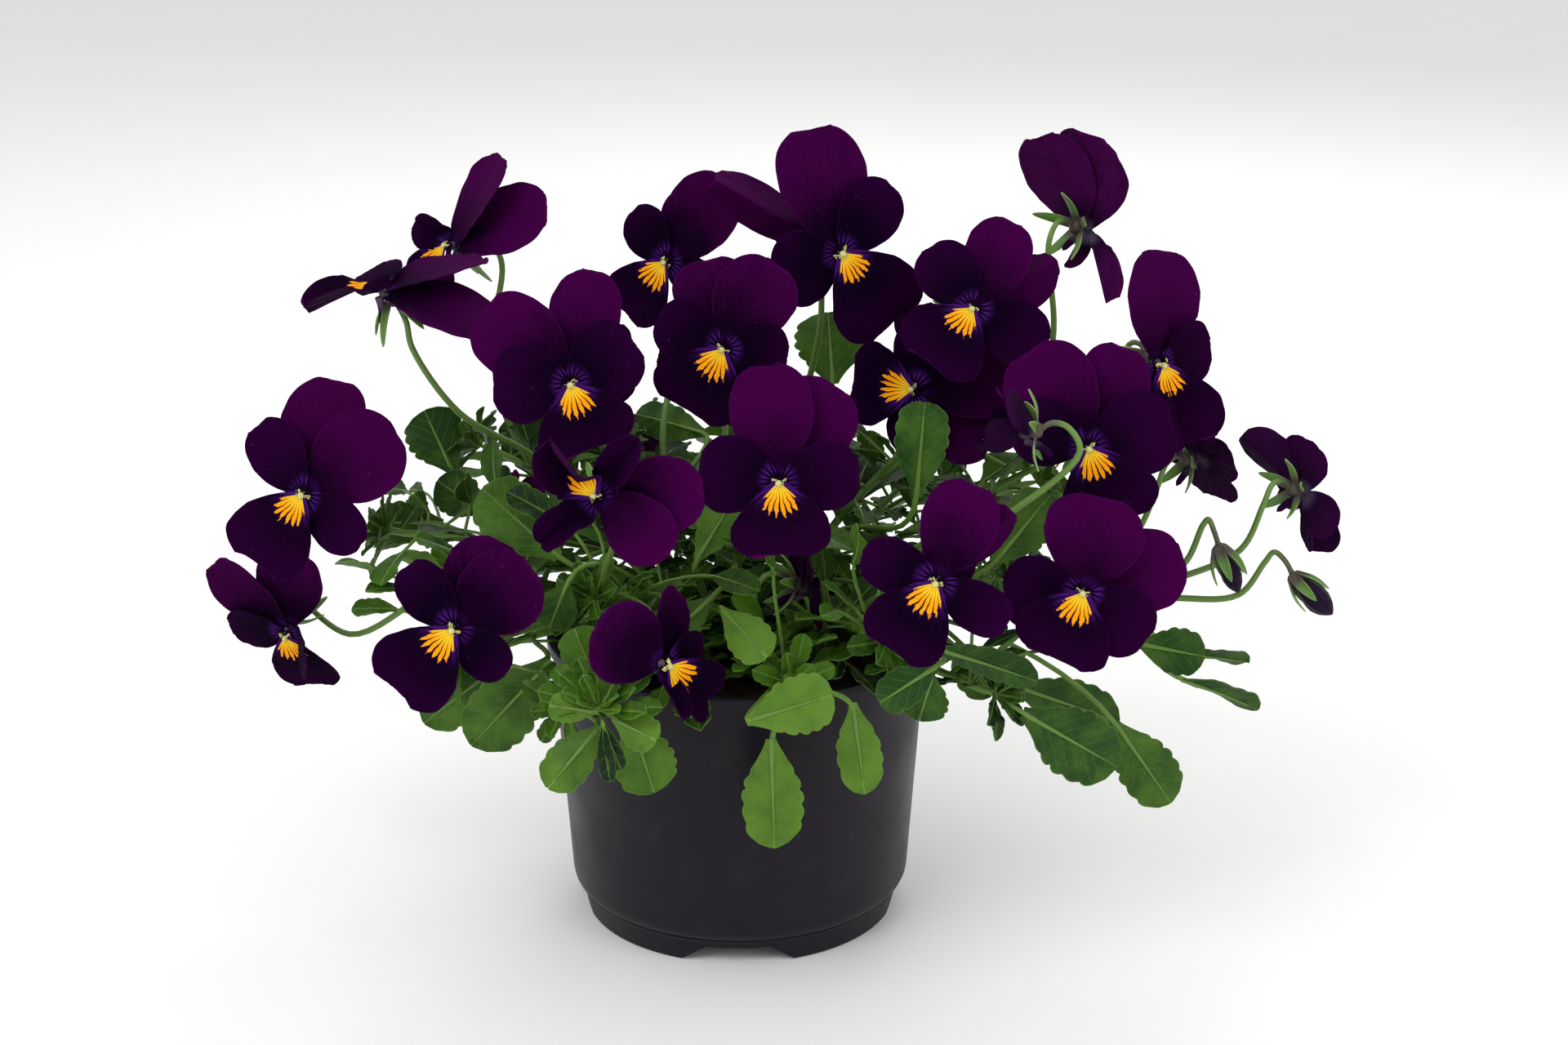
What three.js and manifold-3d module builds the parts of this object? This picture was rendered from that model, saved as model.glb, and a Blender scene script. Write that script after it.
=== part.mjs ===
// A horned violet in a plain plastic nursery pot, in millimetres, +Z up.
// The origin is the middle of the pot's base, and -Y is the side that the blooms face.
import * as THREE from "three";
import { mergeVertices } from "three/addons/utils/BufferGeometryUtils.js";
import Module from "manifold-3d";

const wasm = await Module();
wasm.setup();

// Driving dimensions
const pot = {
  rimRadius: 52.5, // a 10.5 cm nursery pot
  lipRadius: 51.6,
  lipHeight: 3.4,
  height: 80,
  shoulderRadius: 46.6,
  shoulderHeight: 8.4,
  footTopRadius: 44.2,
  footRadius: 43.2,
  footHeight: 7,
  wall: 1,
  floor: 1.2,
  notches: 4,
  notchFoot: 31, // width of a notch at the ground
  notchTop: 17.5,
  notchHeight: 5,
  notchReach: 20, // how near to the axis the channel behind a notch runs
  drainRadius: 3.5,
  drainRing: 32,
  sides: 28,
};
const soil = { gap: 0.3, edgeHeight: 72, middleHeight: 75, lump: 0.9, sides: 18 };
const hole = { margin: 0.5, below: 0.3 };
const stem = { radius: 1.4, sides: 4, steps: 5, foot: 60.3 };
const stalk = { radius: 0.95, sides: 3, steps: 3, hookSteps: 3 };
const petiole = { width: 1.7, thickness: 1.3, rootWidth: 1.1, rootThickness: 0.9 };
const bladeThickness = 0.7;

// The five petals of a bloom of size 1. Widest is the place along the petal where it is widest.
const petalForms = {
  upper: { length: 30, width: 23, widest: 0.6, claw: 0.12, curl: 0.1, cup: 0.08 },
  side: { length: 20.5, width: 18, widest: 0.58, claw: 0.14, curl: 0.05, cup: 0.02 },
  lower: { length: 19.5, width: 25.5, widest: 0.68, claw: 0.12, curl: 0.07, cup: 0 },
};
const petalOrder = [
  { form: "upper", layer: -1.3, lean: -5 },
  { form: "upper", layer: -2.5, lean: -9 },
  { form: "side", layer: -0.2, lean: 1 },
  { form: "side", layer: 0.1, lean: 1 },
  { form: "lower", layer: 1.2, lean: 12 },
];
const petalBend = { start: 0.1, end: 0.34 }; // where a petal bends away from its usual lean
const throat = { radius: 2.2, front: 1.9, back: -3.2 };
const spur = { start: [-2, -1.6], end: [-9.4, -4.4], radius: 1.1, sides: 3 };
const calyx = { front: -3.5, back: -5.1, rise: 1.4, frontRadius: 2.1, backRadius: 1.7 };
const sepal = {
  length: 11.5,
  turns: [0, 70, 144, -144, -70],
  leans: [36, 40, 46, 46, 40],
  closedLean: -72, // the sepals of a bud lie along it
  extraLeans: [0, 8, 16, 24, 32, 40], // a sepal leans back further where a petal is in its way
};
const hook = { start: -4.7, rise: 2.6, steps: [-3.6, -7.4, -10.4], drop: 3.4 };

// The line of sight that places are read along: a view of 1920 by 1280 points from the front.
const view = { eye: new THREE.Vector3(12.3, -669, 334), pitch: 18.5, focal: 3200, middle: [960, 640] };

// Each leafy shoot stands in the soil at root and ends at tip. Arch lifts its middle.
const shoots = [
  { name: "shoot_01", root: [-17, -3], tip: [-92, -14, 112], arch: 4 },
  { name: "shoot_02", root: [-15, 8], tip: [-72, 26, 124], arch: 0 },
  { name: "shoot_03", root: [-15, -13], tip: [-62, -46, 94], arch: 8 },
  { name: "shoot_04", root: [-6, 3], tip: [-34, 4, 128], arch: 0 },
  { name: "shoot_05", root: [-7, -10], tip: [-36, -44, 104], arch: 4 },
  { name: "shoot_06", root: [1, -5], tip: [-2, -26, 120], arch: 0 },
  { name: "shoot_07", root: [3, 9], tip: [18, 26, 132], arch: 0 },
  { name: "shoot_08", root: [11, 1], tip: [44, 8, 124], arch: 0 },
  { name: "shoot_09", root: [9, -11], tip: [38, -52, 96], arch: 5 },
  { name: "shoot_10", root: [18, -5], tip: [70, -30, 104], arch: 4 },
  { name: "shoot_11", root: [19, 7], tip: [82, 18, 116], arch: 2 },
  { name: "shoot_12", root: [24, 0], tip: [104, -4, 90], arch: 8 },
  { name: "shoot_13", root: [-11, 17], tip: [-48, 56, 104], arch: 2 },
  { name: "shoot_14", root: [13, 17], tip: [58, 56, 104], arch: 2 },
  { name: "shoot_15", root: [1, 20], tip: [6, 70, 100], arch: 4 },
  { name: "shoot_16", root: [-13, -22], tip: [-42, -66, 84], arch: 12 },
  { name: "shoot_17", root: [18, -15], tip: [66, -48, 80], arch: 8 },
  { name: "shoot_18", root: [-24, -9], tip: [-72, -30, 82], arch: 10 },
  { name: "shoot_19", root: [3, -20], tip: [14, -56, 86], arch: 6 },
];

// Blooms as seen from the front: the throat's place in the view, its depth in Y, the way it
// faces (turn to the right, lift upwards), and the angle of each petal clockwise from upright, in
// the order upper, upper, left, right, lower. Lean tips petals forwards, and fold bends their two
// halves forwards along the middle, so that they look narrow. Long and wide are shares of a
// petal's usual length and width, and sepalLeans are those of a bloom that is half open.
const blooms = [
  { name: "bloom_01", shoot: "shoot_02", from: 0.8, at: [550, 300], depth: 22, turn: -64, lift: 18,
    size: 0.96, angles: [4, 44, -70, 128, 190], lean: [-8, -30, 52, 4, 10], fold: [0, 0, 30, 40, 40],
    long: [1, 1, 0.7, 0.7, 0.8], wide: [1.05, 1.05, 0.7, 0.6, 0.6] },
  { name: "bloom_02", shoot: "shoot_02", from: 0.55, at: [466, 352], depth: -6, turn: -72, lift: 66,
    size: 1, angles: [-14, 34, -85, 112, 182], lean: [-8, -36, 6, 30, 4], fold: [0, 0, 0, 24, 30],
    long: [1, 1.05, 0.9, 0.8, 1.1], wide: [1, 1.1, 0.8, 0.7, 0.7] },
  { name: "bloom_03", shoot: "shoot_04", from: 0.85, at: [698, 470], depth: -40, turn: 0, lift: 14,
    size: 0.98, angles: [-50, 12, -88, 57, 158], fold: [0, -26, 0, 0, 0],
    wide: [0.95, 0.84, 1.12, 1.1, 1] },
  { name: "bloom_04", shoot: "shoot_04", from: 0.6, at: [817, 320], depth: 20, turn: -28, lift: 8,
    size: 0.88, angles: [31, 10, -42, 118, 218], fold: [0, 0, 0, -20, 0],
    long: [1, 0.78, 0.95, 0.85, 1.12], wide: [1.05, 0.8, 0.9, 0.8, 0.8] },
  { name: "bloom_05", shoot: "shoot_07", from: 0.8, at: [1029, 309], depth: 12, turn: 18, lift: 6,
    size: 1.1, angles: [-10, -58, -110, 42, 146], fold: [0, -62, 0, 0, 0],
    long: [1, 1.1, 0.88, 0.98, 1.16], wide: [0.97, 0.88, 1.05, 0.86, 0.95] },
  { name: "bloom_06", shoot: "shoot_06", from: 0.85, at: [885, 427], depth: -18, turn: 0, lift: 14,
    size: 0.92, angles: [34, -10, -64, 96, 212], long: [0.98, 0.92, 1, 0.9, 1.1] },
  { name: "bloom_07", shoot: "shoot_06", from: 0.6, at: [953, 590], depth: -60, turn: 2, lift: 18,
    size: 0.98, angles: [-6, 30, -80, 84, 180], wide: [0.94, 1, 1.08, 1, 1] },
  { name: "bloom_08", shoot: "shoot_08", from: 0.85, at: [1191, 378], depth: -4, turn: 0, lift: 25,
    size: 0.94, angles: [22, 56, -32, 116, 216], fold: [0, -50, 0, 0, 0],
    long: [1, 1, 1.02, 1.06, 1.12], wide: [0.84, 0.92, 0.94, 0.95, 1] },
  { name: "bloom_09", shoot: "shoot_08", from: 0.6, at: [1119, 477], depth: -26, turn: -15, lift: 12,
    size: 0.84, angles: [80, 124, 6, 176, 276] },
  { name: "bloom_10", shoot: "shoot_10", from: 0.85, at: [1332, 548], depth: -44, turn: 0, lift: 12,
    size: 1, angles: [-32, 22, -72, 72, 159], long: [1, 0.94, 0.96, 1.08, 1.06],
    wide: [1, 0.85, 0.95, 1.18, 0.95] },
  { name: "bloom_11", shoot: "shoot_11", from: 0.85, at: [1330, 281], depth: 36, turn: 132, lift: 0,
    size: 0.94, angles: [-8, 19, -146, 154, 184], lean: [-5, -14, -6, -6, 20],
    fold: [0, 0, 56, 56, 74], long: [1, 1.04, 0.7, 0.7, 1.3], wide: [1.3, 1.15, 0.5, 0.5, 0.62] },
  { name: "bloom_12", shoot: "shoot_11", from: 0.6, at: [1421, 445], depth: -8, turn: 34, lift: 4,
    size: 1, angles: [9, 24, -142, 84, 166], lean: [-4, -24, 0, 2, 14], fold: [0, 0, 46, 0, 30],
    long: [1, 0.8, 0.8, 0.9, 1.25], wide: [1.15, 0.8, 0.7, 1, 0.95] },
  { name: "bloom_13", shoot: "shoot_12", from: 0.62, at: [1468, 560], depth: 16, turn: 124, lift: 16,
    size: 0.76, angles: [-16, 14, -80, 80, 180] },
  { name: "bloom_14", shoot: "shoot_12", from: 0.95, at: [1597, 604], depth: 0, turn: 124, lift: -6,
    size: 0.74, angles: [-6, 48, -118, 112, 196], lean: [-4, -20, 4, 8, 12], fold: [0, 30, 0, 30, 20],
    long: [0.75, 1, 1, 0.75, 1.25], wide: [1, 0.9, 0.9, 0.7, 0.8] },
  { name: "bloom_17", shoot: "shoot_09", from: 0.7, at: [1246, 530], depth: -62, turn: -98, lift: 8,
    size: 0.62, angles: [-24, 24, -92, 92, 180], lean: [58, 48, 58, 60, 62], fold: [0, 0, 8, 8, 40],
    long: [0.74, 0.74, 0.95, 0.95, 0.95], wide: [0.86, 0.86, 0.8, 0.8, 0.56],
    sepalLeans: [-36, -34, 16, 16, -34] },
  { name: "bloom_18", shoot: "shoot_09", from: 0.9, at: [1147, 712], depth: -86, turn: -4, lift: 6,
    size: 0.92, angles: [18, 50, -70, 122, 214], fold: [0, -60, 0, 0, 0],
    long: [0.87, 0.92, 1, 1.08, 1.14], wide: [0.86, 0.9, 0.78, 0.78, 0.9] },
  { name: "bloom_19", shoot: "shoot_10", from: 0.65, at: [1326, 725], depth: -72, turn: 0, lift: 18,
    size: 0.95, angles: [10, 72, -92, 126, 206], long: [0.86, 1, 1, 1, 1.05], wide: [1.18, 0.95, 1.05, 1, 1] },
  { name: "bloom_20", shoot: "shoot_01", from: 0.9, at: [372, 605], depth: -26, turn: -12, lift: 14,
    size: 1.02, angles: [52, 8, -36, 130, 213], long: [0.93, 1, 1.05, 0.95, 1.15],
    wide: [1.05, 1, 0.85, 0.75, 0.95] },
  { name: "bloom_21", shoot: "shoot_01", from: 0.65, at: [350, 776], depth: 4, turn: -14, lift: -30,
    size: 0.9, angles: [-42, 10, -88, 104, 168], lean: [-6, -11, 2, 64, 4],
    long: [1, 0.95, 0.95, 0.8, 1.2], wide: [0.85, 0.9, 0.95, 1, 0.85] },
  { name: "bloom_22", shoot: "shoot_03", from: 0.9, at: [556, 770], depth: -76, turn: -6, lift: 12,
    size: 0.92, angles: [52, 24, -40, 132, 220], long: [0.84, 0.84, 1.05, 0.88, 1.18],
    wide: [1, 0.92, 0.85, 0.75, 0.95] },
  { name: "bloom_23", shoot: "shoot_05", from: 0.6, at: [814, 814], depth: -80, turn: 52, lift: 0,
    size: 0.82, angles: [-52, 46, -164, 92, 136], lean: [-24, -8, 50, 0, 12], fold: [0, 0, 30, 0, 26],
    long: [0.8, 0.8, 0.9, 0.9, 1.1], wide: [1.08, 0.8, 0.6, 0.8, 0.8] },
  { name: "bloom_24", shoot: "shoot_05", from: 0.9, at: [731, 608], depth: -56, turn: -24, lift: 6,
    size: 0.9, angles: [124, 82, 36, 226, 322], lean: [-5, -9, 8, 8, 18], fold: [0, 0, 45, 52, 68],
    long: [0.82, 0.92, 1.1, 1.05, 1.05], wide: [0.86, 0.92, 0.8, 0.9, 1] },
  { name: "bloom_25", shoot: "shoot_19", from: 0.5, at: [992, 722], depth: -34, turn: 104, lift: -6,
    size: 0.52, angles: [-22, 22, -84, 84, 180] },
  { name: "bloom_26", shoot: "shoot_18", from: 0.6, at: [622, 662], depth: 14, turn: -60, lift: 0,
    size: 0.66, angles: [-22, 22, -84, 84, 180] },
  { name: "bloom_27", shoot: "shoot_13", from: 0.9, at: [700, 478], depth: 62, turn: -160, lift: 14,
    size: 0.92, angles: [-20, 24, -80, 84, 180] },
  { name: "bloom_28", shoot: "shoot_15", from: 0.6, at: [880, 452], depth: 62, turn: 178, lift: 12,
    size: 0.88, angles: [-24, 20, -84, 78, 184] },
  { name: "bloom_29", shoot: "shoot_15", from: 0.9, at: [950, 574], depth: 84, turn: 190, lift: 6,
    size: 0.96, angles: [-18, 26, -80, 80, 176] },
  { name: "bloom_30", shoot: "shoot_14", from: 0.6, at: [1180, 462], depth: 58, turn: 152, lift: 14,
    size: 0.94, angles: [-26, 18, -86, 80, 180] },
  { name: "bloom_31", shoot: "shoot_14", from: 0.9, at: [1316, 540], depth: 50, turn: 118, lift: 8,
    size: 0.86, angles: [-20, 24, -80, 86, 190] },
  { name: "bloom_32", shoot: "shoot_13", from: 0.6, at: [754, 610], depth: 74, turn: -142, lift: 4,
    size: 0.9, angles: [-24, 20, -82, 80, 172] },
];

// Closed buds: a spindle of rolled petals that hangs with its tip along the way it faces.
const buds = [
  { name: "bud_15", shoot: "shoot_12", from: 0.94, at: [1600, 722], depth: -10, turn: 62, lift: -38,
    length: 9.5, radius: 3.4 },
  { name: "bud_16", shoot: "shoot_12", from: 0.88, at: [1502, 692], depth: -22, turn: 60, lift: -62,
    length: 8, radius: 2.6 },
];

// Leaves as seen from the front: places of the blade's base and tip in the view, with their
// depths, the blade's width, its turn about its own length, and where its stalk leaves the shoot.
const seenLeaves = [
  { shoot: "shoot_08", from: 0.5, base: [1122, 612], tip: [1133, 488], depths: [-44, -46], width: 13 },
  { shoot: "shoot_05", from: 0.5, base: [686, 684], tip: [592, 600], depths: [-34, -26], width: 17 },
  { shoot: "shoot_02", from: 0.5, base: [556, 580], tip: [520, 504], depths: [14, 20], width: 16 },
  { shoot: "shoot_02", from: 0.35, base: [594, 630], tip: [538, 590], depths: [0, 6], width: 12 },
  { shoot: "shoot_01", from: 0.5, base: [545, 640], tip: [460, 640], depths: [-6, -4], width: 11 },
  { shoot: "shoot_04", from: 0.4, base: [662, 590], tip: [636, 506], depths: [18, 26], width: 15 },
  { shoot: "shoot_18", from: 0.9, base: [622, 806], tip: [524, 882], depths: [-24, -22], width: 14 },
  { shoot: "shoot_18", from: 0.7, base: [676, 806], tip: [582, 908], depths: [-44, -42], width: 17 },
  { shoot: "shoot_16", from: 0.6, base: [736, 846], tip: [702, 768], depths: [-74, -72], width: 11 },
  { shoot: "shoot_16", from: 0.98, base: [735, 888], tip: [672, 964], depths: [-80, -84], width: 11 },
  { shoot: "shoot_16", from: 0.9, base: [772, 880], tip: [800, 968], depths: [-68, -70], width: 15 },
  { shoot: "shoot_16", from: 0.99, base: [750, 880], tip: [806, 908], depths: [-84, -90], width: 9 },
  { shoot: "shoot_16", from: 0.95, base: [732, 872], tip: [670, 864], depths: [-82, -86], width: 7 },
  { shoot: "shoot_19", from: 0.85, base: [912, 884], tip: [1024, 850], depths: [-70, -76], width: 14 },
  { shoot: "shoot_19", from: 0.95, base: [944, 902], tip: [948, 1030], depths: [-64, -60], width: 15 },
  { shoot: "shoot_19", from: 0.98, base: [1044, 858], tip: [1058, 966], depths: [-62, -60], width: 11 },
  { shoot: "shoot_17", from: 0.6, base: [1150, 814], tip: [1076, 862], depths: [-60, -66], width: 10 },
  { shoot: "shoot_17", from: 0.5, base: [1142, 826], tip: [1126, 880], depths: [-54, -54], width: 12 },
  { shoot: "shoot_17", from: 0.98, base: [1250, 872], tip: [1362, 936], depths: [-50, -46], width: 18 },
  { shoot: "shoot_10", from: 0.4, base: [1366, 886], tip: [1430, 978], depths: [-30, -28], width: 15 },
  { shoot: "shoot_12", from: 0.4, base: [1236, 838], tip: [1364, 882], depths: [-16, -10], width: 14 },
  { shoot: "shoot_10", from: 0.6, base: [1216, 692], tip: [1288, 604], depths: [-32, -34], width: 14 },
  { shoot: "shoot_12", from: 0.7, base: [1392, 788], tip: [1474, 804], depths: [-30, -32], width: 12 },
  { shoot: "shoot_12", from: 0.9, base: [1446, 832], tip: [1542, 858], depths: [-10, -8], width: 11,
    turn: 68 },
  { shoot: "shoot_12", from: 0.97, base: [1450, 802], tip: [1528, 802], depths: [4, 8], width: 9, turn: 70 },
  { shoot: "shoot_07", from: 0.7, base: [1020, 472], tip: [1014, 384], depths: [36, 44], width: 19 },
  { shoot: "shoot_04", from: 0.6, base: [868, 532], tip: [784, 508], depths: [14, 24], width: 10 },
  { shoot: "shoot_06", from: 0.4, base: [852, 688], tip: [898, 612], depths: [-34, -30], width: 10 },
  { shoot: "shoot_19", from: 0.6, base: [884, 746], tip: [940, 806], depths: [-56, -62], width: 11 },
  { shoot: "shoot_06", from: 0.5, base: [874, 730], tip: [806, 790], depths: [-60, -66], width: 9 },
  { shoot: "shoot_05", from: 0.4, base: [696, 712], tip: [672, 770], depths: [-48, -52], width: 10 },
  { shoot: "shoot_18", from: 0.97, base: [520, 792], tip: [462, 816], depths: [-40, -42], width: 10 },
  { shoot: "shoot_17", from: 0.7, base: [1140, 792], tip: [1268, 826], depths: [-58, -54], width: 9,
    turn: 30 },
  { shoot: "shoot_09", from: 0.5, base: [1166, 788], tip: [1212, 848], depths: [-46, -44], width: 11 },
];

// Leaves that fill in round each shoot by rule: places along it, and the sizes they grow to.
const fillers = {
  places: [0.5, 0.72, 0.94, 0.34, 0.83, 0.61],
  leaves: 3, // a shoot is filled up to this many leaves, and the far ones to more
  farLeaves: 5,
  goldenTurn: 137.5,
  length: [17, 25],
  width: [0.5, 0.62], // as a share of the length
  stalk: [8, 16],
  rise: [10, 40], // degrees above the level that the leaf stalk leaves the shoot at
  turns: [0, 20, -20, 42, -42, 68, -68, 95],
  rises: [0, 22, -22, 40],
};
const degrees = Math.PI / 180;
const vec = (x, y, z) => new THREE.Vector3(x, y, z);
const upward = vec(0, 0, 1);

// A point moved along each of some directions by an amount.
function moved(point, ...steps) {
  const place = point.clone();
  for (const [direction, amount] of steps) place.addScaledVector(direction, amount);
  return place;
}

function turned(direction, across, angle) {
  return moved(vec(0, 0, 0), [direction, Math.cos(angle * degrees)], [across, Math.sin(angle * degrees)]);
}

// A seeded draw between 0 and 1.
function draw(seed, step) {
  const wave = Math.sin(seed * 12.9898 + step * 78.233) * 43758.5453;
  return wave - Math.floor(wave);
}

function between([low, high], share) {
  return low + (high - low) * share;
}

// The point at this depth on the line of sight through a place in the view.
function seenAt([across, down], depth) {
  const right = (across - view.middle[0]) / view.focal;
  const below = (down - view.middle[1]) / view.focal;
  const cos = Math.cos(view.pitch * degrees);
  const sin = Math.sin(view.pitch * degrees);
  const sight = vec(right, cos - below * sin, -sin - below * cos);
  return moved(view.eye, [sight, (depth - view.eye.y) / sight.y]);
}

// The line of sight at a point, from the eye.
function sightAt(point) {
  return point.clone().sub(view.eye).normalize();
}

// Three directions of a bloom: the way it faces, up and right in its face.
function faceOf(turn, lift) {
  const level = Math.cos(lift * degrees);
  const [across, ahead] = [Math.sin(turn * degrees) * level, -Math.cos(turn * degrees) * level];
  const out = vec(across, ahead, Math.sin(lift * degrees));
  const up = moved(upward, [out, -out.z]).normalize();
  return { out, up, right: up.clone().cross(out) };
}

// How wide a petal is at a place along it, as a share of its greatest width.
function petalShare(form, along) {
  if (along < form.widest) {
    return form.claw + (1 - form.claw) * Math.sin((Math.PI / 2) * (along / form.widest)) ** 0.95;
  }
  return (1 - ((along - form.widest) / (1 - form.widest)) ** 2.3) ** (1 / 2.3);
}

// How much of a petal's length up to a place lies past its bend, which is a smooth one.
function pastBend(along) {
  const { start, end } = petalBend;
  if (along < start) return 0;
  if (along < end) return (along - start) ** 2 / (end - start) / 2;
  return along - (start + end) / 2;
}

// A point of a petal's middle surface: along runs from its claw to its tip, aside from -1 to 1.
function petalPoint(bloom, index, along, aside) {
  const { form: kind, layer, lean: usualLean } = petalOrder[index];
  const form = petalForms[kind];
  const seed = bloom.seed * 7 + index;
  const sway = 3 * (draw(seed, 1) - 0.5);
  const angle = bloom.angles[index] + 6 * (draw(seed, 2) - 0.5);
  const long = bloom.long ? bloom.long[index] : 1;
  const wide = bloom.wide ? bloom.wide[index] : 1;
  const length = form.length * bloom.size * long * (0.96 + 0.08 * draw(seed, 3));
  const half = (form.width / 2) * bloom.size * wide * (0.96 + 0.08 * draw(seed, 4));
  const { out, up, right } = bloom.face;
  const level = turned(up, right, angle);
  const side = turned(right, up, -angle);
  const lean = (bloom.lean ? bloom.lean[index] : usualLean) + sway;
  const start = turned(level, out, usualLean + sway);
  const ahead = turned(level, out, lean);
  const front = turned(out, level, -lean);
  const past = pastBend(along);
  const fold = (bloom.fold ? bloom.fold[index] : 0) * Math.sign(aside);
  const twist = (fold + 6 * (draw(seed, 5) - 0.5)) * Math.min(past / pastBend(petalBend.end), 1);
  const across = turned(side, front, twist);
  const facing = turned(front, side, -twist);
  const reach = half * petalShare(form, along) * aside;
  const curl = -form.curl * length * along * along;
  const spine = moved(bloom.centre, [out, layer], [start, length * (along - past)], [ahead, length * past]);
  return moved(spine, [front, curl], [across, reach], [facing, (form.cup * reach * reach) / half]);
}

// How wide a leaf is at a place along it, as a share of its greatest width.
function leafShare(along) {
  const widest = 0.6;
  if (along < widest) return 0.16 + 0.84 * Math.sin((Math.PI / 2) * (along / widest)) ** 1.5;
  return (1 - ((along - widest) / (1 - widest)) ** 2.7) ** (1 / 2.7);
}

// A point of a leaf's middle surface. A leaf arches down along its length and folds at its rib.
function leafPoint(leaf, along, aside) {
  const reach = (leaf.width / 2) * leafShare(Math.min(along, 1)) * aside;
  const drop = leaf.arch * leaf.length * along * along;
  const rise = leaf.fold * Math.abs(reach) + leaf.wave * Math.sin(along * 7 + 1) * reach * Math.abs(aside);
  return moved(leaf.base, [leaf.ahead, leaf.length * along], [leaf.side, reach], [leaf.face, rise - drop]);
}

// A point on the smooth curve that leaves one place along a direction and reaches another.
function bezierPoint(curve, share) {
  const back = 1 - share;
  return vec(0, 0, 0)
    .addScaledVector(curve[0], back ** 3)
    .addScaledVector(curve[1], 3 * back * back * share)
    .addScaledVector(curve[2], 3 * back * share * share)
    .addScaledVector(curve[3], share ** 3);
}

function bezierWay(curve, share) {
  const step = 0.01;
  return bezierPoint(curve, share + step).sub(bezierPoint(curve, share - step)).normalize();
}

// Places of everything that has been laid out, as balls that later pieces keep clear of.
const kept = [];
const spacing = 2.6;
const bladeBall = spacing * 0.71 + bladeThickness / 2 + 0.1;
const stalkBall = 1.8;
const clearOfPot = 1.2;

function bladeBalls(pointAt, length, width, owner, kind = "blade") {
  const balls = [];
  const rows = Math.max(2, Math.ceil(length / spacing));
  const columns = Math.max(1, Math.ceil(width / 2 / spacing));
  for (let row = 0; row <= rows; row += 1) {
    for (let column = -columns; column <= columns; column += 1) {
      const along = 0.04 + (0.95 * row) / rows;
      balls.push({ place: pointAt(along, column / columns), radius: bladeBall, owner, kind });
    }
  }
  return balls;
}

function curveBalls(curve, owner, kind, from = 0, to = 1) {
  const balls = [];
  const steps = Math.ceil(curve[0].distanceTo(curve[3]) / 1.6);
  for (let step = 0; step <= steps; step += 1) {
    const share = from + ((to - from) * step) / steps;
    balls.push({ place: bezierPoint(curve, share), radius: stalkBall, owner, kind });
  }
  return balls;
}

function lineBalls(points, owner, kind) {
  const balls = [];
  for (let index = 1; index < points.length; index += 1) {
    const [start, end] = [points[index - 1], points[index]];
    const steps = Math.ceil(start.distanceTo(end) / 1.6);
    for (let step = 0; step <= steps; step += 1) {
      balls.push({ place: start.clone().lerp(end, step / steps), radius: stalkBall, owner, kind });
    }
  }
  return balls;
}

function clearsPot(ball) {
  const { place, radius } = ball;
  const reach = Math.hypot(place.x, place.y);
  const margin = radius - clearOfPot;
  if (place.z < 2) return false;
  if (reach > pot.rimRadius + margin || place.z > pot.height + margin) return true;
  return reach < pot.lipRadius - 2 - margin && place.z > soil.middleHeight + margin;
}

// Whether balls are clear of the pot and of all that is kept, apart from kinds of their own shoot.
function clears(balls, ownKinds) {
  const middle = vec(0, 0, 0);
  for (const ball of balls) middle.addScaledVector(ball.place, 1 / balls.length);
  const reach = Math.max(...balls.map((ball) => ball.place.distanceTo(middle)));
  const { owner } = balls[0];
  const near = kept.filter((other) => {
    if (other.owner === owner && ownKinds.includes(other.kind)) return false;
    return other.place.distanceTo(middle) < reach + bladeBall * 2;
  });
  for (const ball of balls) {
    if (!clearsPot(ball)) return false;
    for (const other of near) {
      if (ball.place.distanceTo(other.place) < ball.radius + other.radius) return false;
    }
  }
  return true;
}

const shootNamed = Object.fromEntries(shoots.map((shoot) => [shoot.name, shoot]));

function layShoot(shoot) {
  const foot = vec(shoot.root[0], shoot.root[1], stem.foot);
  const tip = vec(...shoot.tip);
  const neck = vec(shoot.root[0] * 1.1, shoot.root[1] * 1.1, soil.middleHeight + 22);
  const bend = foot.clone().lerp(tip, 0.6);
  bend.z = tip.z + shoot.arch - 6;
  shoot.curve = [foot, neck, bend, tip];
  shoot.leaves = [];
  shoot.flowers = [];
  kept.push(...curveBalls(shoot.curve, shoot.name, "stem", 0.12, 1));
}

// How far a calyx sits above the middle of its bloom, to leave room for the spur.
function riseOf(bloom) {
  return bloom.closed ? 0 : calyx.rise;
}

// The hooked end of a flower's stalk, from inside the calyx back and down.
function hookOf(bloom) {
  const { out, up } = bloom.face;
  const start = moved(bloom.centre, [out, hook.start], [up, riseOf(bloom)]);
  const rise = hook.rise * Math.cos(bloom.lift * degrees);
  const points = [start];
  points.push(moved(start, [out, hook.steps[0]], [upward, rise]));
  points.push(moved(start, [out, hook.steps[1]], [upward, rise * 0.8]));
  points.push(moved(start, [out, hook.steps[2]], [upward, -hook.drop]));
  return points;
}

// A sepal's root and tip. Sepals lean back from an open bloom and lie along a closed bud.
function sepalLine(bloom, index, extraLean) {
  const { out, up, right } = bloom.face;
  const angle = sepal.turns[index] + 12 * (draw(bloom.seed, 20 + index) - 0.5);
  const sway = 8 * (draw(bloom.seed, 30 + index) - 0.5);
  const usualLean = (bloom.sepalLeans ?? sepal.leans)[index];
  const lean = bloom.closed ? sepal.closedLean : usualLean + sway + extraLean;
  const level = turned(up, right, angle);
  const length = sepal.length * Math.max(bloom.scale, 0.75);
  const middle = moved(bloom.centre, [out, calyx.front - 0.8], [up, riseOf(bloom)]);
  const root = moved(middle, [level, calyx.frontRadius]);
  return [root, moved(root, [turned(level, out, -lean), length])];
}

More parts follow.
